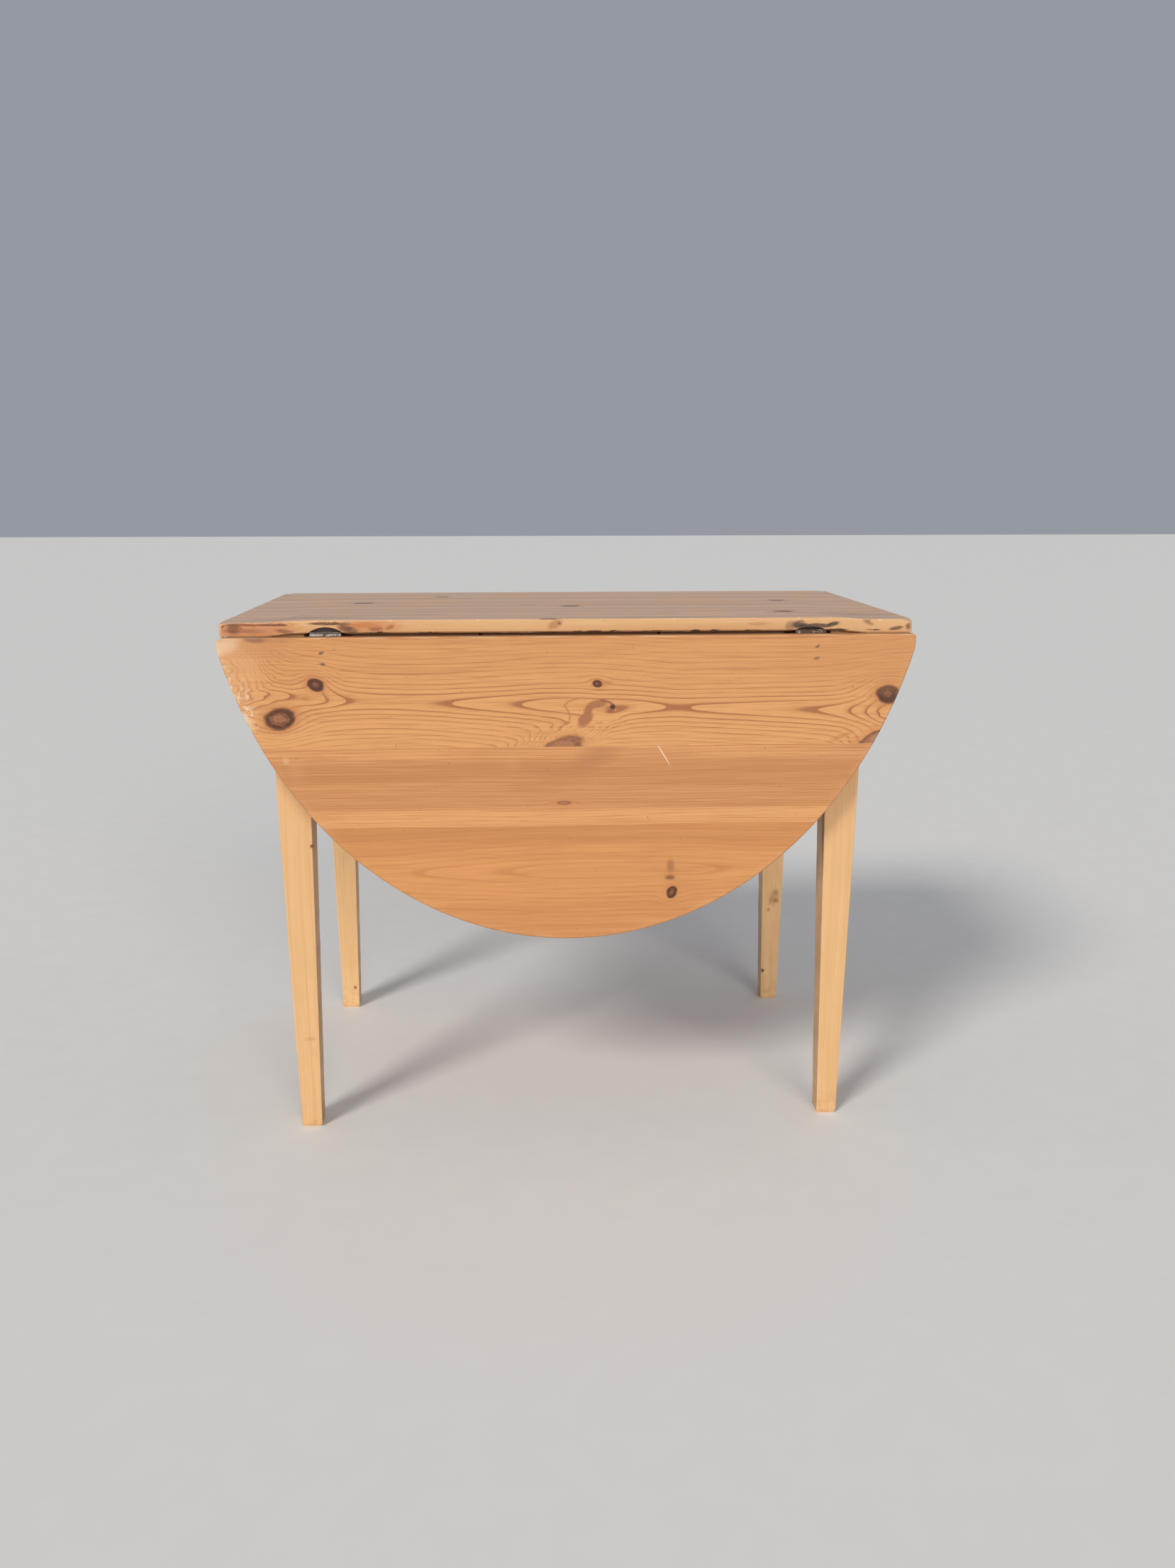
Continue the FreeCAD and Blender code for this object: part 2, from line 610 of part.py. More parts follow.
def build_fly_block(face, fy, holes):
    """The fixed half of both knuckle joints on one side of the table."""
    length = f"(2 * {FLY_AXIS_X})"
    core = block(f"fly_block_core_{face}", ("0", f"{fy} * {FLY_Y}", f"{FLY_TOP} - fly_height / 2"),
                 (length, "fly_thickness", "fly_height"))
    pad_y = f"{fy} * ({FLY_Y} - fly_thickness / 2 - fly_back_room / 2)"
    pad = block(f"fly_block_pad_{face}", ("0", pad_y, f"{FLY_TOP} - fly_height / 2"),
                (f"{length} - 2 * fly_thickness", "fly_back_room", "fly_height"))
    rounds = [knuckle_round(f"block_round_{face}_{side}", sx, fy) for side, sx in SIDES.items()]
    tools = list(holes)
    for side, sx in SIDES.items():
        tools += [finger_slot(f"block_slot_{face}_{side}_{i}", sx, fy, i, -1, "0") for i in FLY_FINGERS]
        tools.append(pin_bore(f"block_bore_{face}_{side}", sx, fy, "fly_pin_room"))
    keep(cut(f"fly_block_{face}", join(f"fly_block_blank_{face}", [core, pad] + rounds), tools))


def build_table():
    mortises, holes = build_buttons()
    holes.update(hinge_screws("screw_room"))
    build_top(holes)
    block_screws = []
    for face, fy in FACES.items():
        build_leaf(face, fy, holes)
        rail_holes, rail_screws = build_side_rail(face, fy, mortises)
        build_fly_block(face, fy, rail_holes)
        block_screws += rail_screws
        for side, sx in SIDES.items():
            build_leg(face, fy, side, sx)
            build_fly(face, fy, side, sx)
    build_middle_rail()
    for side, sx in SIDES.items():
        build_end_rail(side, sx, mortises)
    keep(group("fly_block_screws", block_screws))
    screws = hinge_screws()
    for name, face, sx, fy in hinge_places():
        hinge(name, sx, fy, holes)
    for face in FACES:
        for flap in ("top", "leaf"):
            pieces = [piece for side in SIDES for piece in screws[flap, f"{face}_{side}"]]
            keep(group(f"hinge_screws_{flap}_{face}", pieces))


def export():
    doc.recompute()
    for item in doc.Objects:
        if "Invalid" in item.State or "Error" in item.State:
            raise RuntimeError(f"{item.Name} did not build: {item.State}")
    for item in nodes:
        if item.Shape.isNull() or not item.Shape.isValid():
            raise RuntimeError(f"{item.Label} has no valid shape")
    os.makedirs("parts", exist_ok=True)
    for item in nodes:
        item.Shape.exportStep(f"parts/{item.Label}.step")
        print(item.Label, len(item.Shape.Solids), round(item.Shape.Volume))


build_table()
export()
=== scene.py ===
import math
from dataclasses import dataclass, field
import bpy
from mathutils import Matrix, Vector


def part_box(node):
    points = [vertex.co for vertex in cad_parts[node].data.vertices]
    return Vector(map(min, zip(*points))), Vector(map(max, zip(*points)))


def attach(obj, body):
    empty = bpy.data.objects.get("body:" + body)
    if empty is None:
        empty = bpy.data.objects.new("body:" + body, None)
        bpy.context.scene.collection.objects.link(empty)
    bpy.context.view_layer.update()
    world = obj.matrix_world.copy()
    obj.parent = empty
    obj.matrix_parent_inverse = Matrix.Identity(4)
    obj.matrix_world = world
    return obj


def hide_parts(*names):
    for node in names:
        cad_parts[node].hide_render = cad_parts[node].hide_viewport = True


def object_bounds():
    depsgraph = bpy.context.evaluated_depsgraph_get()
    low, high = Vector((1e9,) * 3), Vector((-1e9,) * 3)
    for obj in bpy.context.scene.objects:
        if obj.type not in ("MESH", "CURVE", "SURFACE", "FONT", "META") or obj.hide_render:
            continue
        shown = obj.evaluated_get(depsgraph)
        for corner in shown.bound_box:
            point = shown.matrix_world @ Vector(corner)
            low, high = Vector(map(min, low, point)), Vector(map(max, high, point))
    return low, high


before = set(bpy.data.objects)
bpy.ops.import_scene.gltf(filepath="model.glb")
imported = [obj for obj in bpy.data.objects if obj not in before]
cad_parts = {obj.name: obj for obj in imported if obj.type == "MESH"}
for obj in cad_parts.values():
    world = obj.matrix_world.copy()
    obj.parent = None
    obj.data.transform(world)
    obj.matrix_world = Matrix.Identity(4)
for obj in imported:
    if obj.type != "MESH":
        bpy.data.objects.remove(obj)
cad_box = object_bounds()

from types import SimpleNamespace

import bmesh
import bpy
from mathutils import Matrix, Vector

# An old pine pembroke table with both leaves hanging. Lengths are in metres, as in the frame.
# Inside the wood materials, and in the tables of knots and marks, lengths are in millimetres.

MM = 0.001
SIDES = {"left": -1, "right": 1}
FACES = {"front": -1, "rear": 1}

# Places read from the frame
TOP_END = cad_box[1].x
TOP_Z = cad_box[1].z
TOP_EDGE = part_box("top_board_rear")[1].y
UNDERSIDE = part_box("top_board_middle")[0].z
BOARD = TOP_Z - UNDERSIDE
LEAF_END, LEAF_FACE, LEAF_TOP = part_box("rear_leaf_upper_board")[1]
LEAF_DEPTH = LEAF_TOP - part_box("rear_leaf_lower_board")[0].z
LEAF_JOINTS = [LEAF_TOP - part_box(f"rear_leaf_{place}_board")[0].z for place in ("upper", "middle")]
TOP_JOINTS = [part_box("top_board_front")[1].y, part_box("top_board_rear")[0].y]
LEG_LOW, LEG_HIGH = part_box("leg_rear_right")
LEG_X = (LEG_LOW.x + LEG_HIGH.x) / 2
LEG_Y = (LEG_LOW.y + LEG_HIGH.y) / 2
LEG_SIZE = LEG_HIGH.x - LEG_LOW.x
PIN_LOW, PIN_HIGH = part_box("hinge_pin_rear_right")
HINGE_X = (PIN_LOW.x + PIN_HIGH.x) / 2
HINGE_Y = (PIN_LOW.y + PIN_HIGH.y) / 2
HINGE_Z = (PIN_LOW.z + PIN_HIGH.z) / 2
HINGE_WIDTH = PIN_HIGH.x - PIN_LOW.x
FLAP_REACH = HINGE_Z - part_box("hinge_leaf_flap_rear_right")[0].z

# Sizes of the making
OVAL_RISE = 0.157
OVAL_SPREAD = 0.023
OVAL_WIDE = LEAF_END + OVAL_SPREAD
OVAL_DEEP = LEAF_DEPTH + OVAL_RISE
CORNER_RADIUS = 0.009
LEFT_CORNER = 0.0065
RIGHT_CORNER = 0.0035
TOP_EASE = 0.0018
LEAF_EASE = 0.0016
LEG_FOOT = 0.029
LEG_SQUARE = 0.102
LEG_ARRIS = 0.0022
FOOT_CHAMFER = 0.002
FOOT_CHAMFER_HEIGHT = 0.003
OUTLINE_STEP = 0.004
FLAP_THICKNESS = 0.002
KNUCKLE_ROOM = 0.0045
SCOOP_WIDTH = 0.048
SCOOP_HEIGHT = 0.0085
LOW_SCOOP_HEIGHT = 0.0055
SCOOP_DEPTH = 0.009
OVERRUN = 0.003
DROOP_START = 0.344
DROOP_END = 0.400
DROOP = 0.0028
LIP = 0.0014
CORNER_REACH = 0.0165
CORNER_DROP = 0.0085
CORNER_STEPS = 6
CUT_INSET = 0.0003
EASE_STEPS = 4
ARRIS_MARGIN = 0.02
CUTTER_SIDES = 96
SMOOTH_ANGLE = math.radians(8)

# How far arrises are worn and chipped, and how much of their length is chipped
LEAF_WEAR = {"Wear": 0.0007, "Chip": 0.0009, "Chip Share": 0.36}
TOP_WEAR = {"Wear": 0.0009, "Chip": 0.0013, "Chip Share": 0.40}
CHIP_SOFTNESS = 0.06
LEG_WEAR = 0.0012
LEG_ARRIS_STEPS = 5
WORN_CORNER = (0.86, 0.95)


class Wire:
    """One socket of a node tree. Sums written with it become Math nodes of that tree."""

    def __init__(self, socket):
        self.socket = socket

    def node(self, kind, settings, values, output=0):
        return add_node(self.socket.id_data, kind, settings, values, output)

    def math(self, operation, first, *rest):
        return self.node("ShaderNodeMath", {"operation": operation}, dict(enumerate((first, *rest))))

    def __add__(self, other):
        return self.math("ADD", self, other)

    def __sub__(self, other):
        return self.math("SUBTRACT", self, other)

    def __rsub__(self, other):
        return self.math("SUBTRACT", other, self)

    def __mul__(self, other):
        return self.math("MULTIPLY", self, other)

    def __truediv__(self, other):
        return self.math("DIVIDE", self, other)

    __radd__ = __add__
    __rmul__ = __mul__

    def step(self, start, end):
        """Goes smoothly from 0 at start to 1 at end."""
        values = {"Value": self, "From Min": start, "From Max": end}
        return self.node("ShaderNodeMapRange", {"interpolation_type": "SMOOTHSTEP"}, values)

    def climb(self, end, low, high):
        """Goes evenly from low at 0 to high at end."""
        values = {"Value": self, "From Max": end, "To Min": low, "To Max": high}
        return self.node("ShaderNodeMapRange", {}, values)

    def sway(self, amount):
        """Noise from 0 to 1, turned into a move to both sides."""
        return (self - 0.5) * amount

    def blend(self, first, second):
        """Goes from the first colour at 0 to the second at 1."""
        return self.node("ShaderNodeMix", {"data_type": "RGBA"}, {0: self, 6: first, 7: second}, 2)

    def one(self, operation):
        """A Math node of one value, such as its root or its size without a sign."""
        return self.math(operation, self)

    def parts(self):
        split = self.node("ShaderNodeSeparateXYZ", {}, {0: self})
        return [Wire(socket) for socket in split.socket.node.outputs]


def add_node(tree, kind, settings, values, output=0):
    """Adds a node: its settings first, then the values or links of its sockets."""
    made = tree.nodes.new(kind)
    for name, value in settings.items():
        if name == "curve":
            set_curve(made.mapping, value)
        else:
            setattr(made, name, value)
    for key, value in values.items():
        for part in value if isinstance(value, list) else [value]:
            if isinstance(part, Wire):
                tree.links.new(part.socket, made.inputs[key])
            elif made.inputs[key].type == "RGBA":
                made.inputs[key].default_value = (*part, 1)
            else:
                made.inputs[key].default_value = part
    return Wire(made.outputs[output])


def set_curve(mapping, points):
    line = mapping.curves[0].points
    line[0].location, line[1].location = points[0], points[-1]
    for place in points[1:-1]:
        line.new(*place)
    mapping.update()


def curve_through(wire, points):
    """A smooth curve through (place, value) points, read at the wire's value."""
    places, values = zip(*points)
    low, high = min(values), max(values)
    span = (high - low) or 1
    width = places[-1] - places[0]
    unit = [((place - places[0]) / width, (value - low) / span) for place, value in points]
    read = wire.node("ShaderNodeFloatCurve", {"curve": unit}, {"Value": (wire - places[0]) / width})
    return read * span + low


def new_material(name):
    """A material, with places on its piece in millimetres."""
    material = bpy.data.materials.new(name)
    material.use_nodes = True
    tree = material.node_tree
    place = add_node(tree, "ShaderNodeTexCoord", {}, {}, "Object")
    spot = place.node("ShaderNodeVectorMath", {"operation": "SCALE"}, {0: place, "Scale": 1 / MM})
    x, y, z = spot.parts()
    return SimpleNamespace(
        material=material, tree=tree, spot=spot, x=x, y=y, z=z, shader=tree.nodes["Principled BSDF"]
    )


def vector(x, y, z):
    first = next(part for part in (x, y, z) if isinstance(part, Wire))
    return first.node("ShaderNodeCombineXYZ", {}, {0: x, 1: y, 2: z})


def speckle(place, scale, detail=2.0, roughness=0.5):
    """Plain noise from 0 to 1, about half on average."""
    values = {"Vector": place, "Scale": scale, "Detail": detail, "Roughness": roughness}
    return place.node("ShaderNodeTexNoise", {}, values)


def stretched(finish, sizes, detail, roughness=0.5):
    """Noise drawn out to so many millimetres along each axis."""
    x, y, z = sizes
    return speckle(vector(finish.x / x, finish.y / y, finish.z / z), 1, detail, roughness)


def link(finish, wire, socket):
    finish.tree.links.new(wire.socket, finish.shader.inputs[socket])


# Wood


@dataclass
class Spot:
    """An oval on a board's face: its middle and half sizes in millimetres, its turn in degrees."""
    along: float
    across: float
    length: float
    height: float
    turn: float

    def rim(self, face):
        """Distance from the middle of the oval, 1 on its rim."""
        local = face.node("ShaderNodeMapping", {"vector_type": "TEXTURE"}, {
            "Vector": face, "Location": (self.along, self.across, 0),
            "Rotation": (0, 0, math.radians(self.turn)), "Scale": (self.length, self.height, 1),
        })
        return face.node("ShaderNodeVectorMath", {"operation": "LENGTH"}, {0: local}, "Value")


@dataclass
class Knot(Spot):
    """A branch grown through a board, and how far it bends and lifts the rings round it."""
    dark: float
    rings: float
    reach: float
    wrap: float
    halo: float = 0
    crinkle: float = 0
    drawn: bool = True


@dataclass
class Mark(Spot):
    """A stain, scratch or spot on a board's face."""
    colour: tuple
    strength: float
    soft: float


@dataclass
class Board:
    """How a board was sawn from the tree, and how its finish has aged."""
    name: str
    place: callable
    heart: float
    heart_depth: float
    ring: float
    rise: tuple
    lean: float = 0
    shade: tuple = ((-500, 0.5), (500, 0.5))
    knots: list = field(default_factory=list)
    marks: list = field(default_factory=list)
    pale: tuple = (0.74, 0.365, 0.150)
    deep: tuple = (0.62, 0.275, 0.100)
    late: tuple = (0.46, 0.165, 0.048)
    late_strength: float = 0.75
    wander: float = 6
    ripple: float = 1.0
    knot_depth: float = 0
    fade: float = 0
    fibres: float = 0.25
    dashes: float = 0
    seed: float = 0


KNOT_BROWN = (0.38, 0.155, 0.068)
KNOT_DARK = (0.085, 0.023, 0.007)
KNOT_HALO = (0.50, 0.19, 0.065)
KNOT_RINGS = 19

# Patterns in the wood: length along the grain and width across it, then detail and roughness
WAVE = (300, 70, 1, 0.5)
RIPPLE = (38, 11, 1, 0.5)
CRUMB = (5, 4, 1, 0.5)
FIBRE = (45, 0.8, 2, 0.6)
STREAK = (150, 2.4, 2, 0.6)
DASH = (90, 2.8, 3, 0.6)
TONE = (330, 12, 2, 0.5)
SEED_STEP = 37.0

# Where in a year's ring its dark wood sets in, slowly and then quickly, and where it ends
SLOW_DARK = (0.40, 0.82)
QUICK_DARK = (0.70, 0.88)
DARK_END = (1.0, 0.965)
SLOW_SHARE = 0.30
RING_JITTER = 1.6
RING_BREAKS = 2.2
RING_LUCK = 0.65
RING_LEAST = 0.20

# Beside the heart the rings are whole, farther off they fade; marks stay in the outer skin
HEART_BAND = 18
FADED_BAND = (26, 62)
SKIN = (4, 2)


def grain_noise(place, shift, pattern):
    """Noise drawn out along the grain of a board."""
    along, across, through = place
    length, width, detail, roughness = pattern
    return speckle(vector(along / length + shift, across / width, through / width), 1, detail, roughness)


def ring_lines(board, place, aside, lift, streak):
    """The dark line that ends each year's ring, and a number drawn by lot for each ring."""
    along, _, through = place
    shift = board.seed * SEED_STEP
    inward = through + board.heart_depth
    radius = (aside * aside + inward * inward).one("SQRT")
    uneven = speckle(vector(radius / (board.ring * 3) + shift, 0, 0), 1, 1).sway(RING_JITTER)
    rings = curve_through(along, board.rise) + lift - (radius - board.heart_depth) / board.ring + uneven
    part = rings.one("FRACT")
    count = rings.one("FLOOR")
    luck = count.node("ShaderNodeTexWhiteNoise", {"noise_dimensions": "1D"}, {"W": count + shift})
    dark = part.step(*SLOW_DARK) * SLOW_SHARE + part.step(*QUICK_DARK) * (1 - SLOW_SHARE)
    inmost = (aside * aside * (-1 / HEART_BAND ** 2)).one("EXPONENT")
    broken = streak.sway(RING_BREAKS) + luck * RING_LUCK + RING_LEAST
    whole = inmost.node("ShaderNodeMix", {}, {0: inmost, 2: broken, 3: 1.0})
    late = dark * part.step(*DARK_END) * whole
    if board.fade:
        late = late * (1 - aside.one("ABSOLUTE").step(*FADED_BAND) * board.fade)
    return late, luck


def grow(board):
    """The growth rings, knots and fibres of a board, as the colour, gloss and relief of a finish."""
    wood = new_material(board.name)
    place = board.place(wood)
    along, across, through = place
    face = vector(along, across, through / board.knot_depth if board.knot_depth else 0)
    patterns = (WAVE, RIPPLE, CRUMB, FIBRE, STREAK, DASH, TONE)
    noises = [grain_noise(place, board.seed * SEED_STEP, pattern) for pattern in patterns]
    wave, ripple, crumb, fibre, streak, dash, tone = noises
    bent = across + (wave.sway(board.wander) + ripple.sway(board.ripple))
    lift = 0
    rims = []
    for knot in board.knots:
        rim = knot.rim(face) + ripple.sway(0.5)
        rims.append(rim)
        near = (rim * rim * (-1 / knot.reach ** 2)).one("EXPONENT")
        bent = bent + (knot.across - across) * (near * knot.wrap)
        if knot.crinkle:
            bent = bent + crumb.sway(near * knot.crinkle)
        lift = near * knot.rings + lift
    aside = bent - board.heart - along * board.lean
    late, luck = ring_lines(board, place, aside, lift, streak)
    shade = tone.sway(0.9) + streak.sway(0.7) + curve_through(across, board.shade) + luck.sway(0.12)
    colour = shade.step(0.0, 1.0).blend(board.pale, board.deep)
    colour = (late * board.late_strength).blend(colour, board.late)
    colour = (fibre.step(0.50, 0.78) * board.fibres).blend(colour, board.late)
    colour = (dash.step(0.50, 0.68) * board.dashes).blend(colour, board.late)
    for knot, rim in zip(board.knots, rims):
        if knot.drawn:
            colour = draw_knot(knot, rim + crumb.sway(0.25), crumb, colour)
    skin = through.step(*SKIN)
    for mark in board.marks:
        rim = mark.rim(face) + ripple.sway(0.6)
        shown = rim.step(1 + mark.soft, 1 - mark.soft) * skin * mark.strength
        colour = shown.blend(colour, mark.colour)
    wood.across, wood.through, wood.face = across, through, face
    wood.fibre, wood.tone, wood.colour = fibre, tone, colour
    wood.gloss = 0.36 + tone * 0.12 + fibre * 0.08
    wood.relief = late * 0.5 + fibre * 0.5
    return wood


def draw_knot(knot, rim, crumb, colour):
    """Lays one knot's halo, heart and dark rim over the colour of its board."""
    halo = rim.step(knot.reach, 0.9) * knot.halo
    colour = halo.blend(colour, KNOT_HALO)
    rings = (rim * KNOT_RINGS).one("SINE") * 0.09 + crumb.sway(0.5)
    deep = rings + rim.step(0.10, 0.95) * 0.60 + knot.dark - 0.42
    heart = deep.step(0.0, 1.0).blend(KNOT_BROWN, KNOT_DARK)
    colour = rim.step(1.10, 0.88).blend(colour, heart)
    edge = rim.step(0.74, 0.97) * rim.step(1.22, 1.02) * (0.36 + 0.5 * knot.dark)
    edge = edge * (crumb.step(0.35, 0.60) * 0.55 + 0.45)
    return edge.blend(colour, KNOT_DARK)


def tint(finish, mask, colour):
    """Lays a colour over a finish's own, as far as the mask goes."""
    finish.colour = mask.blend(finish.colour, colour)


def seal(finish, strength=0.2, distance=0.0005):
    """Joins a finish's colour, gloss and relief to its shader."""
    link(finish, finish.colour, "Base Color")
    link(finish, finish.gloss, "Roughness")
    values = {"Strength": strength, "Distance": distance, "Height": finish.relief}
    link(finish, finish.relief.node("ShaderNodeBump", {}, values), "Normal")
    return finish.material


def leaf_place(fy):
    """Along a leaf's boards, down from its hinge edge, and in from its outer face."""
    def place(wood):
        return wood.x, LEAF_TOP / MM - wood.z, LEAF_FACE / MM - wood.y * fy
    return place


def top_place(wood):
    """Along the top's boards, across them, and down from the upper face."""
    return wood.x, wood.y, TOP_Z / MM - wood.z


SCREW_TIPS = [Mark(x, depth, 3.6, 1.8, turn, (0.09, 0.05, 0.03), 0.8, 0.6)
              for x, depth, turn in ((-320, 19.5, -20), (-319, 34, 10), (322, 15.5, -30), (321.5, 31, -15))]
PATCH_BROWN = (0.40, 0.150, 0.058)
PATCH_RIM = (0.27, 0.092, 0.034)
FAINT_BROWN = (0.46, 0.195, 0.070)


def stroke(points, width, colour, strength):
    """A thin line through points on a board's face, as a row of slim marks."""
    marks = []
    for (a, b), (c, d) in zip(points, points[1:]):
        half = math.hypot(c - a, d - b) / 2
        turn = math.degrees(math.atan2(d - b, c - a))
        marks.append(Mark((a + c) / 2, (b + d) / 2, half * 1.3, width, turn, colour, strength, 0.6))
    return marks


# A brown stain curled round a small dead knot: its darker rim, then the stain inside it
CURL = ((18.4, 108.5, 12, 7.2, -42), (22, 97.5, 7.5, 5, -52), (34.5, 88.5, 14, 5, -12),
        (51.5, 98.5, 6, 2.4, -8))
CURL_INSET = 1.6
FAINT_CURL = [(12, 80.5), (-3.5, 84.8), (-9, 90), (-5, 96.5), (-1.8, 104), (-2.6, 110.5)]
CURL_MARKS = [Mark(*place, PATCH_RIM, 0.75, 0.35) for place in CURL]
CURL_MARKS += [Mark(a, b, length - CURL_INSET, height - CURL_INSET, turn, PATCH_BROWN, 0.9, 0.45)
               for a, b, length, height, turn in CURL[:3]]
CURL_MARKS += stroke([(38, 83.6), (47, 85.2), (55, 89.5)], 1.7, PATCH_RIM, 0.9)
CURL_MARKS.append(Mark(54, 92.5, 3.3, 3.1, 0, (0.045, 0.016, 0.007), 0.95, 0.35))
CURL_MARKS += stroke(FAINT_CURL, 1.25, FAINT_BROWN, 0.8)

FRONT_LEAF = [
    Board(
        "front_leaf_upper_pine", leaf_place(-1), heart=90, lean=0.03, heart_depth=7, ring=6.4,
        rise=((-460, 3.2), (-400, 2.4), (-303, 1.0), (-289, 0.80), (-235, 0.52), (-172, 0.76), (-148, 1.0),
              (-76, 1.76), (-58, 2.0), (-12, 2.46), (25, 2.52), (85, 2.28), (116, 2.0), (140, 1.84),
              (166, 2.0), (240, 2.4), (303, 2.76), (334, 3.0), (380, 3.9), (460, 5.4)),
        shade=((0, 0.66), (12, 0.58), (30, 0.48), (60, 0.36), (90, 0.16), (120, 0.06), (145, 0.16)),
        knots=[
            Knot(-329, 60.4, 10.5, 7.6, 18, 0.95, 2.6, 2.3, 0.7, 0.55),
            Knot(-377, 104.6, 18.5, 13, -13, 0.70, 2.8, 2.0, 0.7, 0.75),
            Knot(-442, 24, 44, 50, 0, 0, 10, 1.0, 0, drawn=False, crinkle=0.8),
            Knot(418.5, 79, 14.5, 11.5, 0, 0.98, 3.4, 2.3, 0.6, 0.6),
            Knot(404, 137, 24, 7.5, -28, 0.35, 2.5, 2.6, 0.3, 0.5, crinkle=4),
            Knot(34, 62, 6, 4.4, 10, 1.0, 0.7, 2.2, 0.8, 0.55),
            Knot(-12, 145, 26, 12, -18, 0.2, 2.0, 1.6, 0, 0.5),
            Knot(-28, 144, 56, 15, -20, 0, 6.5, 1.15, 0, drawn=False, crinkle=9),
            Knot(32, 122, 30, 8, -35, 0, 0.8, 1.3, 0, drawn=False, crinkle=3.5),
        ],
        marks=SCREW_TIPS + CURL_MARKS + [
            Mark(-445, 48, 42, 74, 10, (0.80, 0.48, 0.25), 0.3, 0.8),
            Mark(47, 61.5, 7, 3, 0, PATCH_BROWN, 0.5, 0.7),
            Mark(360, 134.5, 13, 2.4, -20, FAINT_BROWN, 0.65, 0.7),
            Mark(-403, 1.5, 14, 4.5, 6, (0.17, 0.08, 0.05), 0.85, 0.5),
            Mark(-380, 3, 24, 3, 0, (0.42, 0.18, 0.08), 0.5, 0.8),
            Mark(-438, 8, 14, 9, -20, (0.82, 0.62, 0.42), 0.55, 0.7),
            Mark(420, 34, 120, 34, 0, (0.55, 0.24, 0.085), 0.42, 0.7),
            Mark(-396, 14, 34, 10, 12, (0.50, 0.21, 0.085), 0.35, 0.9),
            Mark(-442, 88, 4, 10, -20, (0.86, 0.74, 0.60), 0.7, 0.6),
            Mark(-428, 108, 4, 7, -25, (0.86, 0.74, 0.60), 0.7, 0.6),
        ],
        pale=(0.715, 0.345, 0.126), deep=(0.60, 0.265, 0.090), late=(0.36, 0.130, 0.042),
        late_strength=0.95, wander=5, ripple=0.5, fade=0.4, fibres=0.36, dashes=0.30, seed=1,
    ),
    Board(
        "front_leaf_middle_pine", leaf_place(-1), heart=420, heart_depth=70, ring=3.6,
        rise=((-460, 0.0), (-200, 0.8), (0, 0.2), (220, 0.9), (460, 0.3)),
        shade=((143, 0.36), (155, 0.42), (170, 0.78), (186, 0.84), (200, 0.62), (222, 0.66), (234, 0.26),
               (252, 0.20)),
        knots=[Knot(-10, 221, 9, 2.6, 0, 0.1, 1.4, 3.4, 0.7, 0.3)],
        marks=[
            Mark(34, 158, 30, 14, -25, (0.40, 0.165, 0.065), 0.5, 0.8),
            Mark(-14, 180, 34, 12, 0, (0.44, 0.185, 0.070), 0.4, 0.8),
            Mark(-78, 164, 9, 11, 0, (0.76, 0.47, 0.27), 0.09, 0.8),
            Mark(-360, 178, 11, 13, 0, (0.78, 0.50, 0.30), 0.10, 0.8),
            Mark(-372, 160, 3.5, 4, 0, (0.86, 0.72, 0.56), 0.20, 0.7),
            Mark(121, 156, 16.5, 0.75, 59, (0.86, 0.68, 0.48), 0.85, 0.5),
        ],
        pale=(0.73, 0.355, 0.138), deep=(0.53, 0.225, 0.078), late_strength=0.80,
        fibres=0.36, dashes=0.34, seed=2,
    ),
    Board(
        "front_leaf_lower_pine", leaf_place(-1), heart=315, heart_depth=10, ring=6.2,
        rise=((-460, 0.2), (-230, 0.77), (-207, 1.0), (-115, 1.77), (-92, 2.0), (60, 2.6), (250, 1.6),
              (460, 0.5)),
        shade=((250, 0.74), (268, 0.64), (290, 0.46), (330, 0.36), (380, 0.52), (411, 0.60)),
        knots=[Knot(135, 347.5, 6.5, 8, 30, 0.85, 0.8, 2.4, 0.6, 0.35)],
        marks=[
            Mark(133, 311, 5, 9, 0, (0.34, 0.135, 0.05), 0.75, 0.7),
            Mark(132.5, 326.5, 6.5, 3.2, 0, (0.20, 0.07, 0.03), 0.85, 0.6),
        ],
        pale=(0.70, 0.315, 0.106), deep=(0.53, 0.222, 0.072), late_strength=0.45,
        fibres=0.36, dashes=0.30, seed=3,
    ),
]

REAR_LEAF = [
    Board(
        "rear_leaf_upper_pine", leaf_place(1), heart=60, heart_depth=9, ring=5.0,
        rise=((-460, 1.2), (-330, 2.6), (-180, 1.7), (-40, 2.5), (140, 3.4), (300, 2.4), (460, 3.2)),
        knots=[
            Knot(-250, 96, 13, 9, 20, 0.8, 2.2, 2.6, 0.85, 0.5),
            Knot(180, 34, 9, 7, -10, 0.9, 1.6, 2.4, 0.8, 0.5),
            Knot(352, 118, 16, 11, 0, 0.4, 2.4, 2.2, 0.8, 0.5),
        ],
        marks=SCREW_TIPS, seed=4,
    ),
    Board(
        "rear_leaf_middle_pine", leaf_place(1), heart=-120, heart_depth=60, ring=3.5,
        rise=((-460, 0.4), (-150, 0.0), (120, 0.9), (460, 0.2)),
        shade=((143, 0.55), (180, 0.40), (252, 0.60)),
        knots=[Knot(-120, 205, 7, 4, 0, 0.7, 1.2, 3.0, 0.7, 0.4)],
        pale=(0.73, 0.355, 0.142), deep=(0.57, 0.245, 0.090), late_strength=0.6, seed=5,
    ),
    Board(
        "rear_leaf_lower_pine", leaf_place(1), heart=305, heart_depth=14, ring=5.6,
        rise=((-460, 0.4), (-240, 1.8), (-60, 2.6), (120, 1.9), (460, 0.3)),
        shade=((250, 0.35), (300, 0.45), (411, 0.55)),
        knots=[Knot(90, 300, 10, 8, 0, 0.6, 1.8, 2.4, 0.8, 0.5)],
        pale=(0.73, 0.340, 0.125), late_strength=0.55, seed=6,
    ),
]

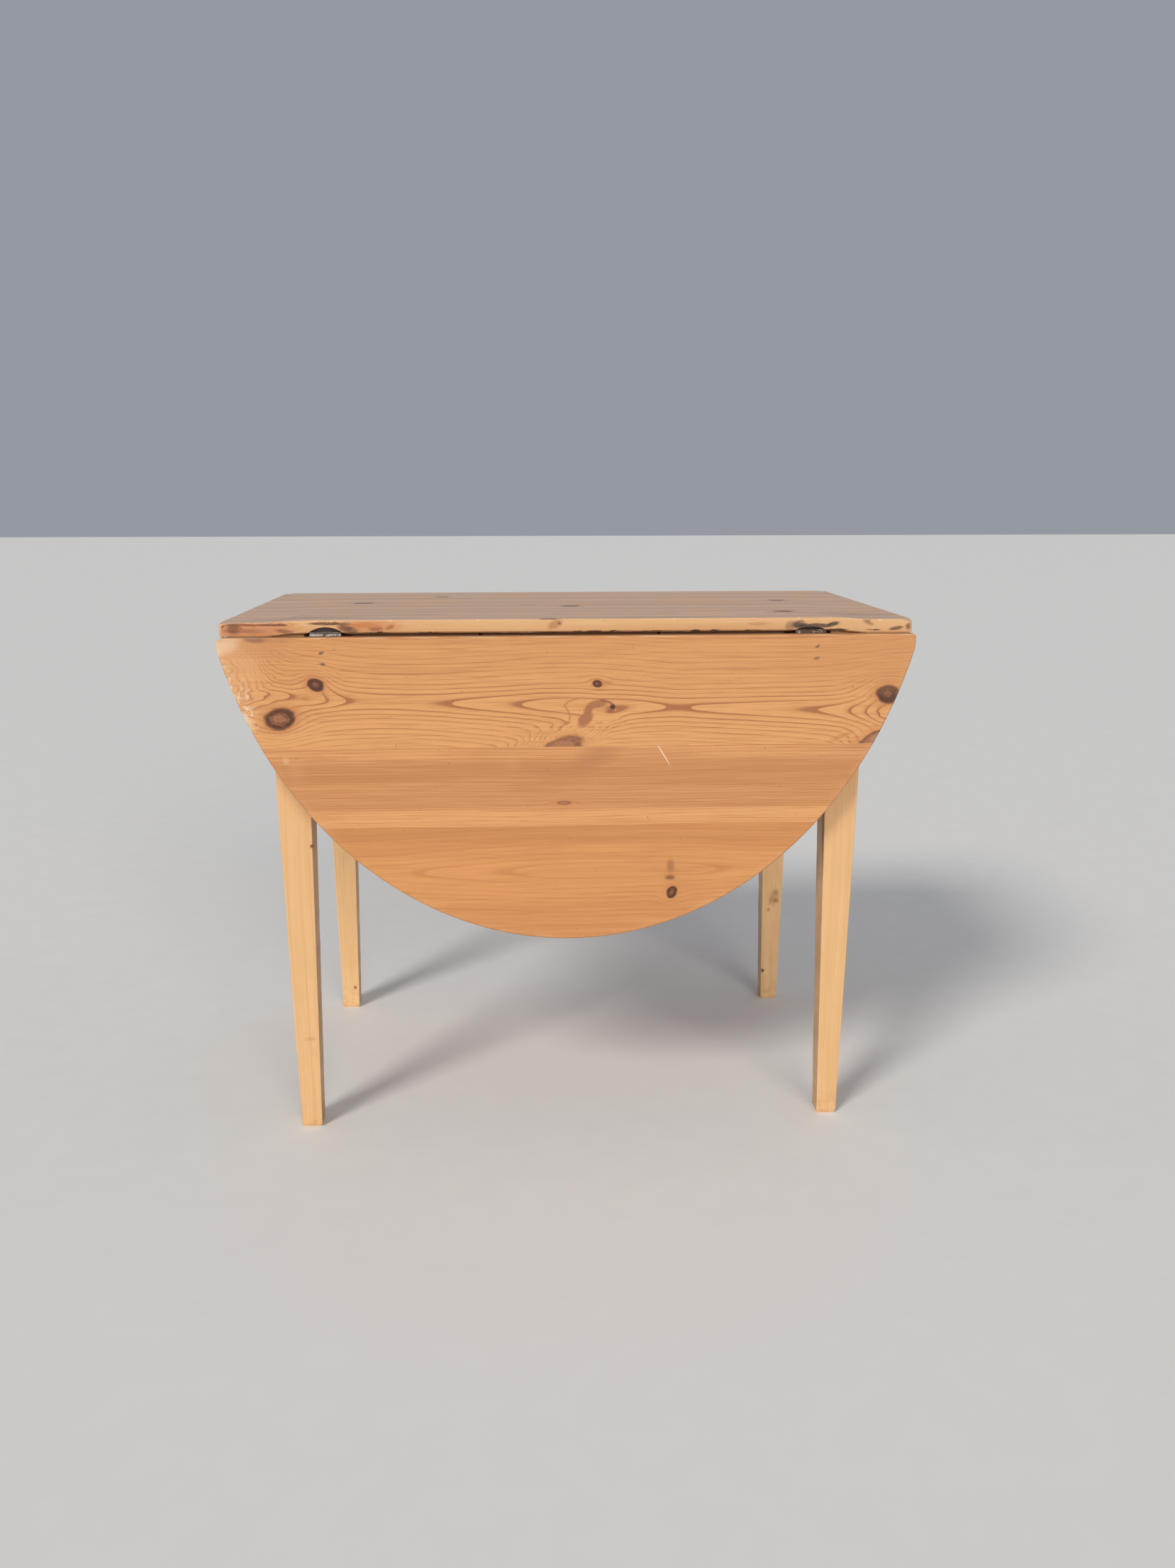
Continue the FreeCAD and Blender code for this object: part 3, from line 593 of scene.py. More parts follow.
TOP_LOOK = {
    "pale": (0.83, 0.510, 0.282), "deep": (0.63, 0.365, 0.198), "late": (0.40, 0.190, 0.090), "fibres": 0.12,
}

TOP_BOARDS = {
    "front": Board(
        "top_front_pine", top_place, heart=-170, heart_depth=12, ring=4.6,
        rise=((-460, 1.0), (-250, 2.2), (-80, 1.4), (30, 2.4), (240, 1.6), (460, 2.6)),
        shade=((-250, 0.45), (-238, 0.30), (-222, 0.75), (-204, 0.35), (-180, 0.60), (-160, 0.25),
               (-138, 0.70), (-112, 0.40), (-92, 0.62), (-76, 0.35)),
        knots=[
            Knot(-28, -244, 11, 8, 10, 0.5, 2.0, 2.4, 0.8, 0.4),
            Knot(300, -150, 12, 9, 0, 0.8, 2.0, 2.4, 0.8, 0.5),
        ],
        marks=[
            Mark(-345, -205, 60, 9, 2, (0.22, 0.11, 0.065), 0.55, 0.9),
            Mark(130, -232, 90, 6, 0, (0.30, 0.15, 0.085), 0.45, 0.9),
            Mark(395, -180, 50, 22, 0, (0.26, 0.14, 0.085), 0.45, 0.9),
        ],
        **TOP_LOOK, seed=7,
    ),
    "middle": Board(
        "top_middle_pine", top_place, heart=-10, heart_depth=9, ring=4.8,
        rise=((-460, 2.4), (-220, 1.3), (-20, 2.2), (190, 3.2), (460, 1.8)),
        shade=((-80, 0.60), (-55, 0.30), (-30, 0.70), (0, 0.35), (35, 0.62), (70, 0.32), (94, 0.66)),
        knots=[
            Knot(-300, 30, 14, 10, 12, 0.7, 2.2, 2.4, 0.8, 0.5),
            Knot(8, -40, 12, 9, 0, 0.75, 2.0, 2.4, 0.8, 0.5),
            Knot(330, 42, 11, 8, 0, 0.8, 1.8, 2.4, 0.8, 0.5),
        ],
        **TOP_LOOK, seed=8,
    ),
    "rear": Board(
        "top_rear_pine", top_place, heart=300, heart_depth=60, ring=3.6,
        rise=((-460, 0.0), (-150, 0.8), (180, 0.2), (460, 0.9)),
        shade=((90, 0.40), (120, 0.68), (150, 0.34), (190, 0.62), (225, 0.36), (250, 0.55)),
        knots=[Knot(-190, 150, 10, 6, 0, 0.6, 1.4, 2.8, 0.7, 0.5)],
        **TOP_LOOK, seed=9,
    ),
}

LEG_LATE = (0.60, 0.30, 0.115)
# The rear legs' pine is painted paler than the front legs': painted light, making up for the light that the
# leaves and the top keep off them
LEG_LOOKS = {
    FACES["front"]: {"pale": (0.80, 0.485, 0.235), "deep": (0.72, 0.405, 0.175)},
    FACES["rear"]: {"pale": (0.88, 0.570, 0.285), "deep": (0.81, 0.480, 0.215)},
}

# Knots and marks in the legs: height above the floor, and place across the leg
LEG_KNOTS = {
    "leg_rear_right_pine": [
        Knot(190, 4, 12, 7, 10, 0, 0.8, 2.4, 0.7, drawn=False),
        Knot(53, -12, 3, 2.5, 0, 0.9, 0.5, 2.0, 0.6, 0.4),
    ],
    "leg_rear_left_pine": [Knot(37, 8, 2.5, 2, 0, 0.2, 0.4, 2.4, 0.6, 0.3)],
    "leg_front_left_pine": [Knot(416, 20, 2.2, 1.8, 0, 0.4, 0.4, 2.6, 0.6, 0.3)],
}
LEG_MARKS = {
    "leg_rear_right_pine": [
        Mark(190, 4, 13, 7.5, 10, (0.50, 0.27, 0.100), 0.75, 0.7),
        Mark(199, 7, 4, 4, 0, (0.40, 0.20, 0.070), 0.65, 0.7),
        Mark(184, 7.5, 4, 5, 0, (0.30, 0.145, 0.045), 0.70, 0.6),
        Mark(183, -2, 6, 2.4, 0, (0.40, 0.205, 0.065), 0.55, 0.6),
        Mark(167, -5, 3, 2.6, 0, (0.42, 0.22, 0.065), 0.65, 0.6),
    ],
    "leg_front_left_pine": [Mark(135, 4, 3, 6, 0, (0.60, 0.30, 0.095), 0.6, 0.8)],
}


def leg_half(wood):
    """Half the width of a leg at each height, in millimetres."""
    return wood.z.climb((UNDERSIDE - LEG_SQUARE) / MM, LEG_FOOT / MM / 2, LEG_SIZE / MM / 2)


def leg_board(name, sx, fy, seed):
    """A leg's pine, sawn with the heart outside it."""
    def place(wood):
        """Up a leg, across it, and back from its front face."""
        return wood.z, wood.x - sx * LEG_X / MM, wood.y - fy * LEG_Y / MM + leg_half(wood)
    return Board(
        name, place, heart=38 * sx, heart_depth=24, ring=4.2,
        rise=((0, 0.2), (180, 0.6), (350, 0.1), (520, 0.7), (703, 0.2)),
        shade=((-25, 0.42), (25, 0.5)), knots=LEG_KNOTS.get(name, []), marks=LEG_MARKS.get(name, []),
        **LEG_LOOKS[fy], late=LEG_LATE, late_strength=0.26, wander=5, knot_depth=9, seed=seed,
    )


def worn(wood, mask, colour, amount):
    """Lays a paler, duller patch where the finish has gone."""
    patch = mask * speckle(wood.spot, 0.05, 3, 0.6).step(0.42, 0.62) * amount
    tint(wood, patch, colour)
    wood.gloss = wood.gloss + patch * 0.25


BARE_PINE = (0.78, 0.56, 0.34)
# Grime and painted shade for a leaf's hinge edge, in the crease below the top's edge
JOINT_GRIME_AND_SHADE = (0.20, 0.105, 0.055)
FLAKED = (0.88, 0.76, 0.62)

# Where a leaf's finish has gone: along its boards, down from its hinge edge, and out towards its rim
RUBBED_END = (-360, -420)
RUBBED_DEPTH = (128, 104)
RUBBED_RIM = (0.976, 0.998)
FLAKED_DEPTH = (44, 62)
FLAKED_RIM = (0.945, 0.985)


def leaf_finish(board):
    """A leaf's board: its rim rubbed and flaked at one end, its upper arris pale, its hinge edge darkened by
    grime and painted shade.
    """
    wood = grow(board)
    rim = Spot(0, -OVAL_RISE / MM, OVAL_WIDE / MM, OVAL_DEEP / MM, 0).rim(wood.face)
    end = wood.x.step(*RUBBED_END) * wood.across.step(*RUBBED_DEPTH)
    worn(wood, rim.step(*RUBBED_RIM) * (end + 0.10), BARE_PINE, 0.85)
    flakes = speckle(wood.spot, 0.14, 3).step(0.53, 0.68) * wood.across.step(*FLAKED_DEPTH)
    tint(wood, rim.step(*FLAKED_RIM) * end * flakes * 0.65, FLAKED)
    arris = wood.across.step(2.2, 0.8) * wood.through.step(2.6, 1.0)
    rubbed = stretched(wood, (45, 3, 3), 2).step(0.45, 0.65)
    tint(wood, arris * rubbed * 0.55, BARE_PINE)
    # The leaf's hinge edge, in the crease below the top's edge, darkened with grime and painted shade
    seat = wood.across.step(0.7, 0.1) * wood.through.step(1.6, 3.4)
    tint(wood, seat * 0.6, JOINT_GRIME_AND_SHADE)
    wood.gloss = wood.gloss + seat * 0.4
    pits = speckle(wood.spot, 0.22, 1).step(0.76, 0.80)
    tint(wood, pits * 0.3, KNOT_DARK)
    return seal(wood)


def top_finish(board):
    wood = grow(board)
    polish(wood)
    return seal(wood, 0.07)


def polish(wood):
    """The top keeps more of its varnish than the leaves, dulled in patches of wear."""
    dull = speckle(wood.spot, 0.012, 3, 0.6).step(0.4, 0.7)
    wood.gloss = 0.225 + dull * 0.10 + wood.fibre * 0.06


EDGE_RED = (0.30, 0.085, 0.028)
EDGE_BROWN = (0.13, 0.052, 0.026)
EDGE_BLACK = (0.022, 0.014, 0.012)
EDGE_ORANGE = (0.55, 0.20, 0.055)
EDGE_ROSE = (0.55, 0.24, 0.13)
EDGE_AMBER = (0.62, 0.265, 0.100)
EDGE_PALE = (0.75, 0.45, 0.215)
EDGE_DEEP = (0.65, 0.35, 0.148)
EDGE_FIBRE = (0.50, 0.24, 0.09)
EDGE_SOFTNESS = 0.6
# Colour of the painted shadow inside the scoops over the hinge knuckles
SCOOP_SHADOW_COLOUR = (0.050, 0.030, 0.022)
HOLLOW_HALF = (27, 25)

# Stains on the front edge of the top: along it, and up from its underside
EDGE_STAINS = (
    (-410, 8.5, 56, 12, 0, EDGE_AMBER, 0.85, 0.45),
    (-254, 9, 36, 8, 0, EDGE_AMBER, 0.75, 0.6),
    (-440, 5, 22, 6, 0, EDGE_ROSE, 0.7, 0.8),
    (-432, 13.6, 22, 2.2, 0, EDGE_RED, 0.8, 0.8),
    (-426, 4.5, 20, 2.4, 0, EDGE_RED, 0.7, 0.8),
    (-252, 6, 9, 3.0, 0, EDGE_RED, 0.7, 0.8),
    (-233, 8, 6, 2.4, 20, EDGE_RED, 0.6, 0.8),
    (-449, 12, 5, 4, 0, EDGE_BROWN, 0.75, 0.6),
    (-433, 8.5, 8, 8, 10, EDGE_BROWN, 0.75, 0.8),
    (-407, 4, 12, 3, 0, EDGE_BROWN, 0.5, 0.9),
    (-398, 11.8, 36, 1.7, 0, EDGE_RED, 0.9, 0.6),
    (-382, 11.3, 17, 1.4, 0, EDGE_BROWN, 0.8, 0.5),
    (-400, 5, 30, 4, 0, EDGE_ROSE, 0.45, 0.9),
    (-368, 3, 12, 2.6, -10, EDGE_BROWN, 0.6, 0.7),
    (-314, 13, 23, 1.9, 0, EDGE_BROWN, 0.95, 0.6),
    (-291, 9, 9, 6, 0, EDGE_BROWN, 0.85, 0.8),
    (-268, 11, 20, 3.6, 0, EDGE_ORANGE, 0.85, 0.7),
    (-283, 4, 9, 3.6, 0, EDGE_BROWN, 0.75, 0.8),
    (-20, 10.5, 10, 5, 25, (0.38, 0.16, 0.065), 0.65, 0.8),
    (-14, 12, 3, 2, 0, EDGE_BROWN, 0.7, 0.5),
    (247, 9.6, 14, 2, 0, (0.45, 0.20, 0.08), 0.55, 0.8),
    (289, 6, 6, 7, 0, EDGE_BROWN, 0.5, 0.8),
    (301, 8, 9, 5, 0, EDGE_BLACK, 0.85, 0.7),
    (322, 6.5, 22, 3.4, 0, EDGE_BLACK, 0.85, 0.7),
    (346, 8.6, 10, 2.6, 14, EDGE_BLACK, 0.85, 0.7),
    (392, 12, 8, 3.4, -35, EDGE_BROWN, 0.6, 0.8),
    (430, 2.4, 9, 2.4, 8, EDGE_BROWN, 0.85, 0.6),
    (447, 5, 4, 4, 0, EDGE_BROWN, 0.75, 0.7),
)
EDGE_MARKS = [Mark(*row) for row in EDGE_STAINS]

# Black marks along the lower arris of that edge: place, half length and half height
EDGE_NICKS = (
    (-250, 16, 1.0), (-180, 20, 0.7), (9, 6, 1.6), (30, 10, 1.2), (58, 7, 1.7), (110, 14, 0.8),
    (164, 6, 1.5), (190, 7, 1.6), (240, 12, 1.0), (302, 7, 1.8), (351, 14, 1.8), (400, 10, 0.8),
)
NICK_HEIGHT = 0.7
EDGE_MARKS += [Mark(x, NICK_HEIGHT, length, height, 0, EDGE_BLACK, 0.95, 0.35)
               for x, length, height in EDGE_NICKS]


def top_edge_finish(board):
    """The front board of the top: its edge is bare, stained dark round the hinges, with painted shadow in
    their scoops.
    """
    wood = grow(board)
    inset = wood.y + TOP_EDGE / MM
    height = wood.z - UNDERSIDE / MM
    bare = wood.tone.step(0.25, 0.75).blend(EDGE_PALE, EDGE_DEEP)
    bare = (wood.fibre.step(0.5, 0.8) * 0.4).blend(bare, EDGE_FIBRE)
    ragged = stretched(wood, (10, 10, 2.0), 4, 0.7) - 0.5
    place = vector(wood.x + ragged * 12, height + ragged * 6, 0)
    for mark in EDGE_MARKS:
        rim = mark.rim(place) + ragged * 0.9
        soft = mark.soft * EDGE_SOFTNESS
        bare = (rim.step(1 + soft, 1 - soft) * mark.strength).blend(bare, mark.colour)
    lines = stretched(wood, (30, 2, 1.1), 3, 0.65)
    bare = (lines.step(0.52, 0.72) * 0.35).blend(bare, EDGE_AMBER)
    edge = inset.step(2.2, 0.5)
    tint(wood, edge, bare)
    polish(wood)
    wood.gloss = wood.gloss + edge * 0.2
    # Painted shadow inside each scoop over a hinge knuckle, where the scoop hollows into the edge
    hollow = 0
    for sx in SIDES.values():
        hollow = (wood.x - sx * HINGE_X / MM).one("ABSOLUTE").step(*HOLLOW_HALF) + hollow
    scoop_shadow = hollow * inset.step(0.4, 1.6) * height.step(11, 8)
    tint(wood, scoop_shadow * 0.9, SCOOP_SHADOW_COLOUR)
    return seal(wood, 0.1)


LEG_MOTTLE = (0.70, 0.43, 0.175)
# Colour of the painted shade on each leg's inner face
LEG_PAINTED_SHADE = (0.26, 0.165, 0.085)
LEG_SCUFF = (0.48, 0.27, 0.115)

# A dark streak down the inner face of the front right leg: its place from front to rear, and its height
LEG_DARK_STREAK = Spot(-231, 420, 5, 62, -3)
LEG_DARK_STREAK_COLOUR = (0.075, 0.04, 0.02)


def leg_finish(name, sx, fy, seed):
    """A leg: its arrises rubbed pale, its inner face darkened with painted shade, its foot scuffed."""
    wood = grow(leg_board(name, sx, fy, seed))
    half = leg_half(wood)
    side = wood.x - sx * LEG_X / MM
    aside = half - side.one("ABSOLUTE")
    behind = half - (wood.y - fy * LEG_Y / MM).one("ABSOLUTE")
    worn(wood, (aside + behind).step(4.0, 0.5), BARE_PINE, 0.6)
    mottle = stretched(wood, (30, 30, 70), 3, 0.6).step(0.45, 0.7)
    tint(wood, mottle * 0.5, LEG_MOTTLE)
    if (sx, fy) == (SIDES["right"], FACES["front"]):
        inner = (wood.x - (LEG_X - LEG_SIZE / 2) / MM).step(6, 3.5)
        stain = LEG_DARK_STREAK.rim(vector(wood.y, wood.z, 0)).step(1.4, 0.6) * inner
        tint(wood, stain * 0.92, LEG_DARK_STREAK_COLOUR)
    # Painted shade on the face of the leg that looks in towards the middle of the table
    within = half + side * sx
    tint(wood, within.step(1.0, 0.3) * 0.55, LEG_PAINTED_SHADE)
    scuffed = wood.z.step(60, 5) * speckle(wood.spot, 0.08, 3).step(0.45, 0.65)
    tint(wood, scuffed * 0.30, LEG_SCUFF)
    return seal(wood)


def rail_finish(name, place):
    """Bare pine, darkened by age, for the rails and buttons under the top."""
    wood = grow(Board(
        name, place, heart=90, heart_depth=40, ring=4.0,
        rise=((-460, 0.2), (-150, 0.9), (150, 0.3), (460, 1.0)),
        pale=(0.64, 0.375, 0.175), deep=(0.51, 0.28, 0.122), late=(0.36, 0.165, 0.063), seed=11,
    ))
    wood.gloss = wood.gloss + 0.22
    return seal(wood)


BEECH_PALE = (0.52, 0.31, 0.165)
BEECH_DEEP = (0.42, 0.235, 0.115)
BEECH_FLECK = (0.24, 0.115, 0.05)
RUST = (0.105, 0.050, 0.028)
IRON_PIT = (0.04, 0.03, 0.025)
HINGE_GREY = (0.33, 0.30, 0.27)
SCREW_GREY = (0.42, 0.39, 0.35)


def beech_finish():
    """Bare beech for the flies: even brown with short dark flecks."""
    wood = new_material("fly_beech")
    wide = stretched(wood, (160, 20, 14), 2)
    fleck = stretched(wood, (7, 1.2, 0.9), 1)
    wood.colour = wide.step(0.3, 0.7).blend(BEECH_PALE, BEECH_DEEP)
    tint(wood, fleck.step(0.60, 0.70) * 0.5, BEECH_FLECK)
    wood.gloss, wood.relief = 0.5 + wide * 0.15, fleck
    return seal(wood, 0.15, 0.0003)


def iron_finish(name, bright, seed):
    """Old iron: dull grey where rubbed, brown where it has rusted."""
    iron = new_material(name)
    rust = (speckle(iron.spot, 0.16 + seed, 4, 0.65) + iron.x.step(0, 250) * 0.10).step(0.44, 0.62)
    pit = speckle(iron.spot, 1.1 + seed, 3, 0.6)
    iron.colour = rust.blend(bright, RUST)
    tint(iron, pit.step(0.5, 0.75) * 0.4, IRON_PIT)
    iron.gloss, iron.relief = 0.40 + rust * 0.35 + pit * 0.1, pit + rust * 0.6
    link(iron, 0.9 - rust * 0.75, "Metallic")
    return seal(iron, 0.35, 0.0003)


# Shaping


def new_object(name, data):
    """An object in the scene that holds a mesh, a lamp or a camera."""
    made = bpy.data.objects.new(name, data)
    bpy.context.scene.collection.objects.link(made)
    return made


def piece_from_points(name, points, lines=(), faces=()):
    mesh = bpy.data.meshes.new(name)
    mesh.from_pydata(points, lines, faces)
    return new_object(name, mesh)


def piece_from_shape(name, shape):
    """Turns a bmesh into a piece, and frees it."""
    mesh = bpy.data.meshes.new(name)
    shape.to_mesh(mesh)
    shape.free()
    return new_object(name, mesh)


def settle(piece):
    """Turns a piece and its modifiers into one plain mesh."""
    bpy.context.view_layer.update()
    shaped = piece.evaluated_get(bpy.context.evaluated_depsgraph_get())
    mesh = bpy.data.meshes.new_from_object(shaped)
    piece.modifiers.clear()
    piece.data = mesh
    mesh.name = piece.name


def along_line(start, end):
    """Points from start towards end, without the end; along the table they fall on a common grid."""
    start, end = Vector(start), Vector(end)
    span = end - start
    count = max(1, round(span.length / OUTLINE_STEP))
    if abs(span.y) > abs(span.x):
        return [tuple(start + span * i / count) for i in range(count)]
    way = 1 if span.x > 0 else -1
    reach = int(TOP_END / OUTLINE_STEP)
    grid = [way * i * OUTLINE_STEP for i in range(-reach, reach + 1)]
    inside = [x for x in grid if OUTLINE_STEP / 2 < (x - start.x) * way < abs(span.x) - OUTLINE_STEP / 2]
    return [tuple(start)] + [(x, start.y) for x in inside]


FREE, GLUED = 1, 2


def plank(name, runs, place, ease, cuts=()):
    """A board from the runs of its outline; the runs marked free have their arrises eased."""
    outline = [(point, free) for points, free in runs for point in points]
    shape = bmesh.new()
    outer = [shape.verts.new((*point, 0)) for point, free in outline]
    inner = [shape.verts.new((*point, BOARD)) for point, free in outline]
    shape.faces.new(outer)
    shape.faces.new(inner[::-1])
    side = shape.faces.layers.int.new("side")
    for i, (point, free) in enumerate(outline):
        j = (i + 1) % len(outline)
        face = shape.faces.new((outer[j], outer[i], inner[i], inner[j]))
        face[side] = FREE if free else GLUED
    for spot, way in cuts:
        everything = shape.verts[:] + shape.edges[:] + shape.faces[:]
        bmesh.ops.bisect_plane(shape, geom=everything, plane_co=spot, plane_no=way)
    eased = [edge for edge in shape.edges if {face[side] for face in edge.link_faces} == {0, FREE}]
    ends = dict.fromkeys(vert for edge in eased for vert in edge.verts)
    shape.normal_update()
    bmesh.ops.bevel(shape, geom=eased + list(ends), offset=ease, segments=EASE_STEPS, profile=0.5,
                     affect="EDGES")
    arris = shape.verts.layers.float.new("arris")
    for vert in shape.verts:
        inset = min(vert.co.z, BOARD - vert.co.z)
        vert[arris] = 1.0 if ARRIS_MARGIN * ease < inset < (1 - ARRIS_MARGIN) * ease else 0.0
        vert.co = place(*vert.co)
    if shape.calc_volume(signed=True) < 0:
        bmesh.ops.reverse_faces(shape, faces=shape.faces)
    return piece_from_shape(name, shape)


def cutter(make, matrix, **sizes):
    """A plain solid to cut with, from one of the makers of bmesh."""
    shape = bmesh.new()
    make(shape, matrix=matrix, **sizes)
    return piece_from_shape("cutter", shape)


def box_cutter(low, high):
    low, high = Vector(low), Vector(high)
    matrix = Matrix.Translation((low + high) / 2) @ Matrix.Diagonal((*(high - low), 1))
    return cutter(bmesh.ops.create_cube, matrix, size=1)


def round_cutter(middle, axis, radius, length):
    turn = Vector((0, 0, 1)).rotation_difference(Vector(axis)).to_matrix().to_4x4()
    return cutter(bmesh.ops.create_cone, Matrix.Translation(middle) @ turn, cap_ends=True,
                  segments=CUTTER_SIDES, radius1=radius, radius2=radius, depth=length)


def carve(piece, cutters):
    """Cuts the cutters out of a piece, and removes them."""
    for tool in cutters:
        carving = piece.modifiers.new("carving", "BOOLEAN")
        carving.object = tool
        carving.operation = "DIFFERENCE"
        carving.solver = "MANIFOLD"
    settle(piece)
    for tool in cutters:
        bpy.data.objects.remove(tool)


def new_tree(name, inputs):
    """A geometry tree with named inputs: a group's wires by name, and the tree."""
    tree = bpy.data.node_groups.new(name, "GeometryNodeTree")
    tree.interface.new_socket("Geometry", in_out="OUTPUT", socket_type="NodeSocketGeometry")
    for label, kind in inputs.items():
        tree.interface.new_socket(label, in_out="INPUT", socket_type="NodeSocket" + kind)
    start = tree.nodes.new("NodeGroupInput")
    return tree, {label: Wire(start.outputs[label]) for label in inputs}


def end_tree(tree, geometry, material):
    """Every tree ends in plain, painted geometry."""
    real = geometry.node("GeometryNodeRealizeInstances", {}, {"Geometry": geometry})
    painted = real.node("GeometryNodeSetMaterial", {}, {"Geometry": real, "Material": material})
    end = tree.nodes.new("NodeGroupOutput")
    tree.links.new(painted.socket, end.inputs[0])


def run_tree(piece, tree, values):
    """Runs a tree on a piece with its inputs set, and keeps the result as a plain mesh."""
    modifier = piece.modifiers.new(tree.name, "NODES")
    modifier.node_group = tree
    names = {item.name: item.identifier for item in tree.interface.items_tree if item.in_out == "INPUT"}
    for label, value in values.items():
        modifier[names[label]] = value
    settle(piece)


def wear_tree():
    """Wears the eased arrises of a board, and knocks small chips out of them."""
    tree, given = new_tree("worn_arrises", {
        "Geometry": "Geometry", "Wear": "Float", "Chip": "Float", "Chip Share": "Float", "Seed": "Float",
        "Material": "Material",
    })
    spot = add_node(tree, "GeometryNodeInputPosition", {}, {})
    arris = add_node(tree, "GeometryNodeInputNamedAttribute", {"data_type": "FLOAT"}, {"Name": "arris"})
    normal = add_node(tree, "GeometryNodeInputNormal", {}, {})
    moved = spot.node("ShaderNodeVectorMath", {"operation": "ADD"}, {0: spot, 1: given["Seed"]})
    slow = speckle(moved, 45, 3, 0.6)
    quick = speckle(moved, 130, 2, 0.6)
    chip = quick.step(1 - given["Chip Share"], 1 + CHIP_SOFTNESS - given["Chip Share"])
    depth = arris * (slow * given["Wear"] + chip * given["Chip"]) * -1
    offset = normal.node("ShaderNodeVectorMath", {"operation": "SCALE"}, {0: normal, "Scale": depth})
    worn_down = offset.node("GeometryNodeSetPosition", {}, {
        "Geometry": given["Geometry"], "Offset": offset,
    })
    end_tree(tree, worn_down, given["Material"])
    return tree


def leg_tree():
    """A square leg swept up a line: tapered below the rails, its foot chamfered, its arrises worn."""
    tree, given = new_tree("tapered_leg", {
        "Line": "Geometry", "Size": "Float", "Foot": "Float", "Taper Height": "Float", "Arris": "Float",
        "Chamfer": "Float", "Chamfer Height": "Float", "Wear": "Float", "Seed": "Float", "Place": "Vector",
        "Material": "Material",
    })
    line = given["Line"].node("GeometryNodeMeshToCurve", {}, {"Mesh": given["Line"]})
    height = add_node(tree, "GeometryNodeInputPosition", {}, {}).parts()[2]
    taper = height.climb(given["Taper Height"], given["Foot"], given["Size"])
    side = taper - height.climb(given["Chamfer Height"], given["Chamfer"] * 2, 0.0)
    profile = add_node(tree, "GeometryNodeCurvePrimitiveQuadrilateral", {}, {"Width": 1.0, "Height": 1.0})
    rounded = profile.node("GeometryNodeFilletCurve", {"mode": "POLY"}, {
        "Curve": profile, "Count": LEG_ARRIS_STEPS, "Radius": given["Arris"] / given["Size"],
    })
    solid = line.node("GeometryNodeCurveToMesh", {}, {
        "Curve": line, "Profile Curve": rounded, "Scale": side, "Fill Caps": True,
    })
    spot = add_node(tree, "GeometryNodeInputPosition", {}, {})
    x, y = spot.parts()[:2]
    corner = (x.one("ABSOLUTE") + y.one("ABSOLUTE")) / side
    arris = corner.step(*WORN_CORNER)
    way_x, way_y = add_node(tree, "GeometryNodeInputNormal", {}, {}).parts()[:2]
    moved = spot.node("ShaderNodeVectorMath", {"operation": "ADD"}, {0: spot, 1: given["Seed"]})
    depth = arris * speckle(moved, 30, 3, 0.6) * given["Wear"] * -1
    offset = vector(way_x * depth, way_y * depth, 0)
    eased = solid.node("GeometryNodeSetPosition", {}, {"Geometry": solid, "Offset": offset})
    placed = eased.node("GeometryNodeTransform", {}, {"Geometry": eased, "Translation": given["Place"]})
    end_tree(tree, placed, given["Material"])
    return tree


# Screws: sides of a head and a shank, width of a slot and its length in head radii, and a tip's share
HEAD_SIDES = 32
SHANK_SIDES = 16
SLOT_WIDTH = 0.0008
SLOT_REACH = 2.2
TIP_SHARE = 0.3


def screw_tree():
    """Slotted countersunk screws, one at each point, their slots turned at random."""
    tree, given = new_tree("slotted_screws", {
        "Points": "Geometry", "Head Radius": "Float", "Head Height": "Float", "Shank Radius": "Float",
        "Length": "Float", "Slot": "Float", "Way": "Vector", "Seed": "Int", "Material": "Material",
    })
    head = given["Points"].node("GeometryNodeMeshCone", {}, {
        "Vertices": HEAD_SIDES, "Radius Top": given["Shank Radius"], "Radius Bottom": given["Head Radius"],
        "Depth": given["Head Height"],
    })
    size = vector(given["Head Radius"] * SLOT_REACH, given["Slot"], given["Slot"] * 2)
    blade = head.node("GeometryNodeMeshCube", {}, {"Size": size})
    cut = head.node("GeometryNodeMeshBoolean", {"operation": "DIFFERENCE", "solver": "EXACT"}, {
        "Mesh 1": head, "Mesh 2": blade,
    })
    start = vector(0, 0, given["Head Height"])
    shank = head.node("GeometryNodeMeshCone", {}, {
        "Vertices": SHANK_SIDES, "Radius Top": given["Shank Radius"] * TIP_SHARE,
        "Radius Bottom": given["Shank Radius"], "Depth": given["Length"] - given["Head Height"],
    })
    shank = shank.node("GeometryNodeTransform", {}, {"Geometry": shank, "Translation": start})
    screw = cut.node("GeometryNodeJoinGeometry", {}, {"Geometry": [cut, shank]})
    spin = add_node(tree, "FunctionNodeRandomValue", {"data_type": "FLOAT"}, {
        2: 0.0, 3: math.pi, "Seed": given["Seed"],
    }, 1)
    turn = spin.node("FunctionNodeAxisAngleToRotation", {}, {"Axis": (0, 0, 1), "Angle": spin})
    aim = spin.node("FunctionNodeAlignRotationToVector", {"axis": "Z"}, {"Vector": given["Way"]})
    aim = aim.node("FunctionNodeRotateRotation", {"rotation_space": "LOCAL"}, {0: aim, 1: turn})
    placed = screw.node("GeometryNodeInstanceOnPoints", {}, {
        "Points": given["Points"], "Instance": screw, "Rotation": aim,
    })
    end_tree(tree, placed, given["Material"])
    return tree


def smooth(piece):
    """Shades gentle bends as one surface and leaves every sharper edge crisp."""
    mesh = piece.data
    mesh.polygons.foreach_set("use_smooth", [True] * len(mesh.polygons))
    mesh.set_sharp_from_angle(angle=SMOOTH_ANGLE)


def hang(piece, body, slot, *nodes):
    """Puts a finished piece on its body, in place of its nodes."""
    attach(piece, body)
    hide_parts(*nodes)


# Leaves


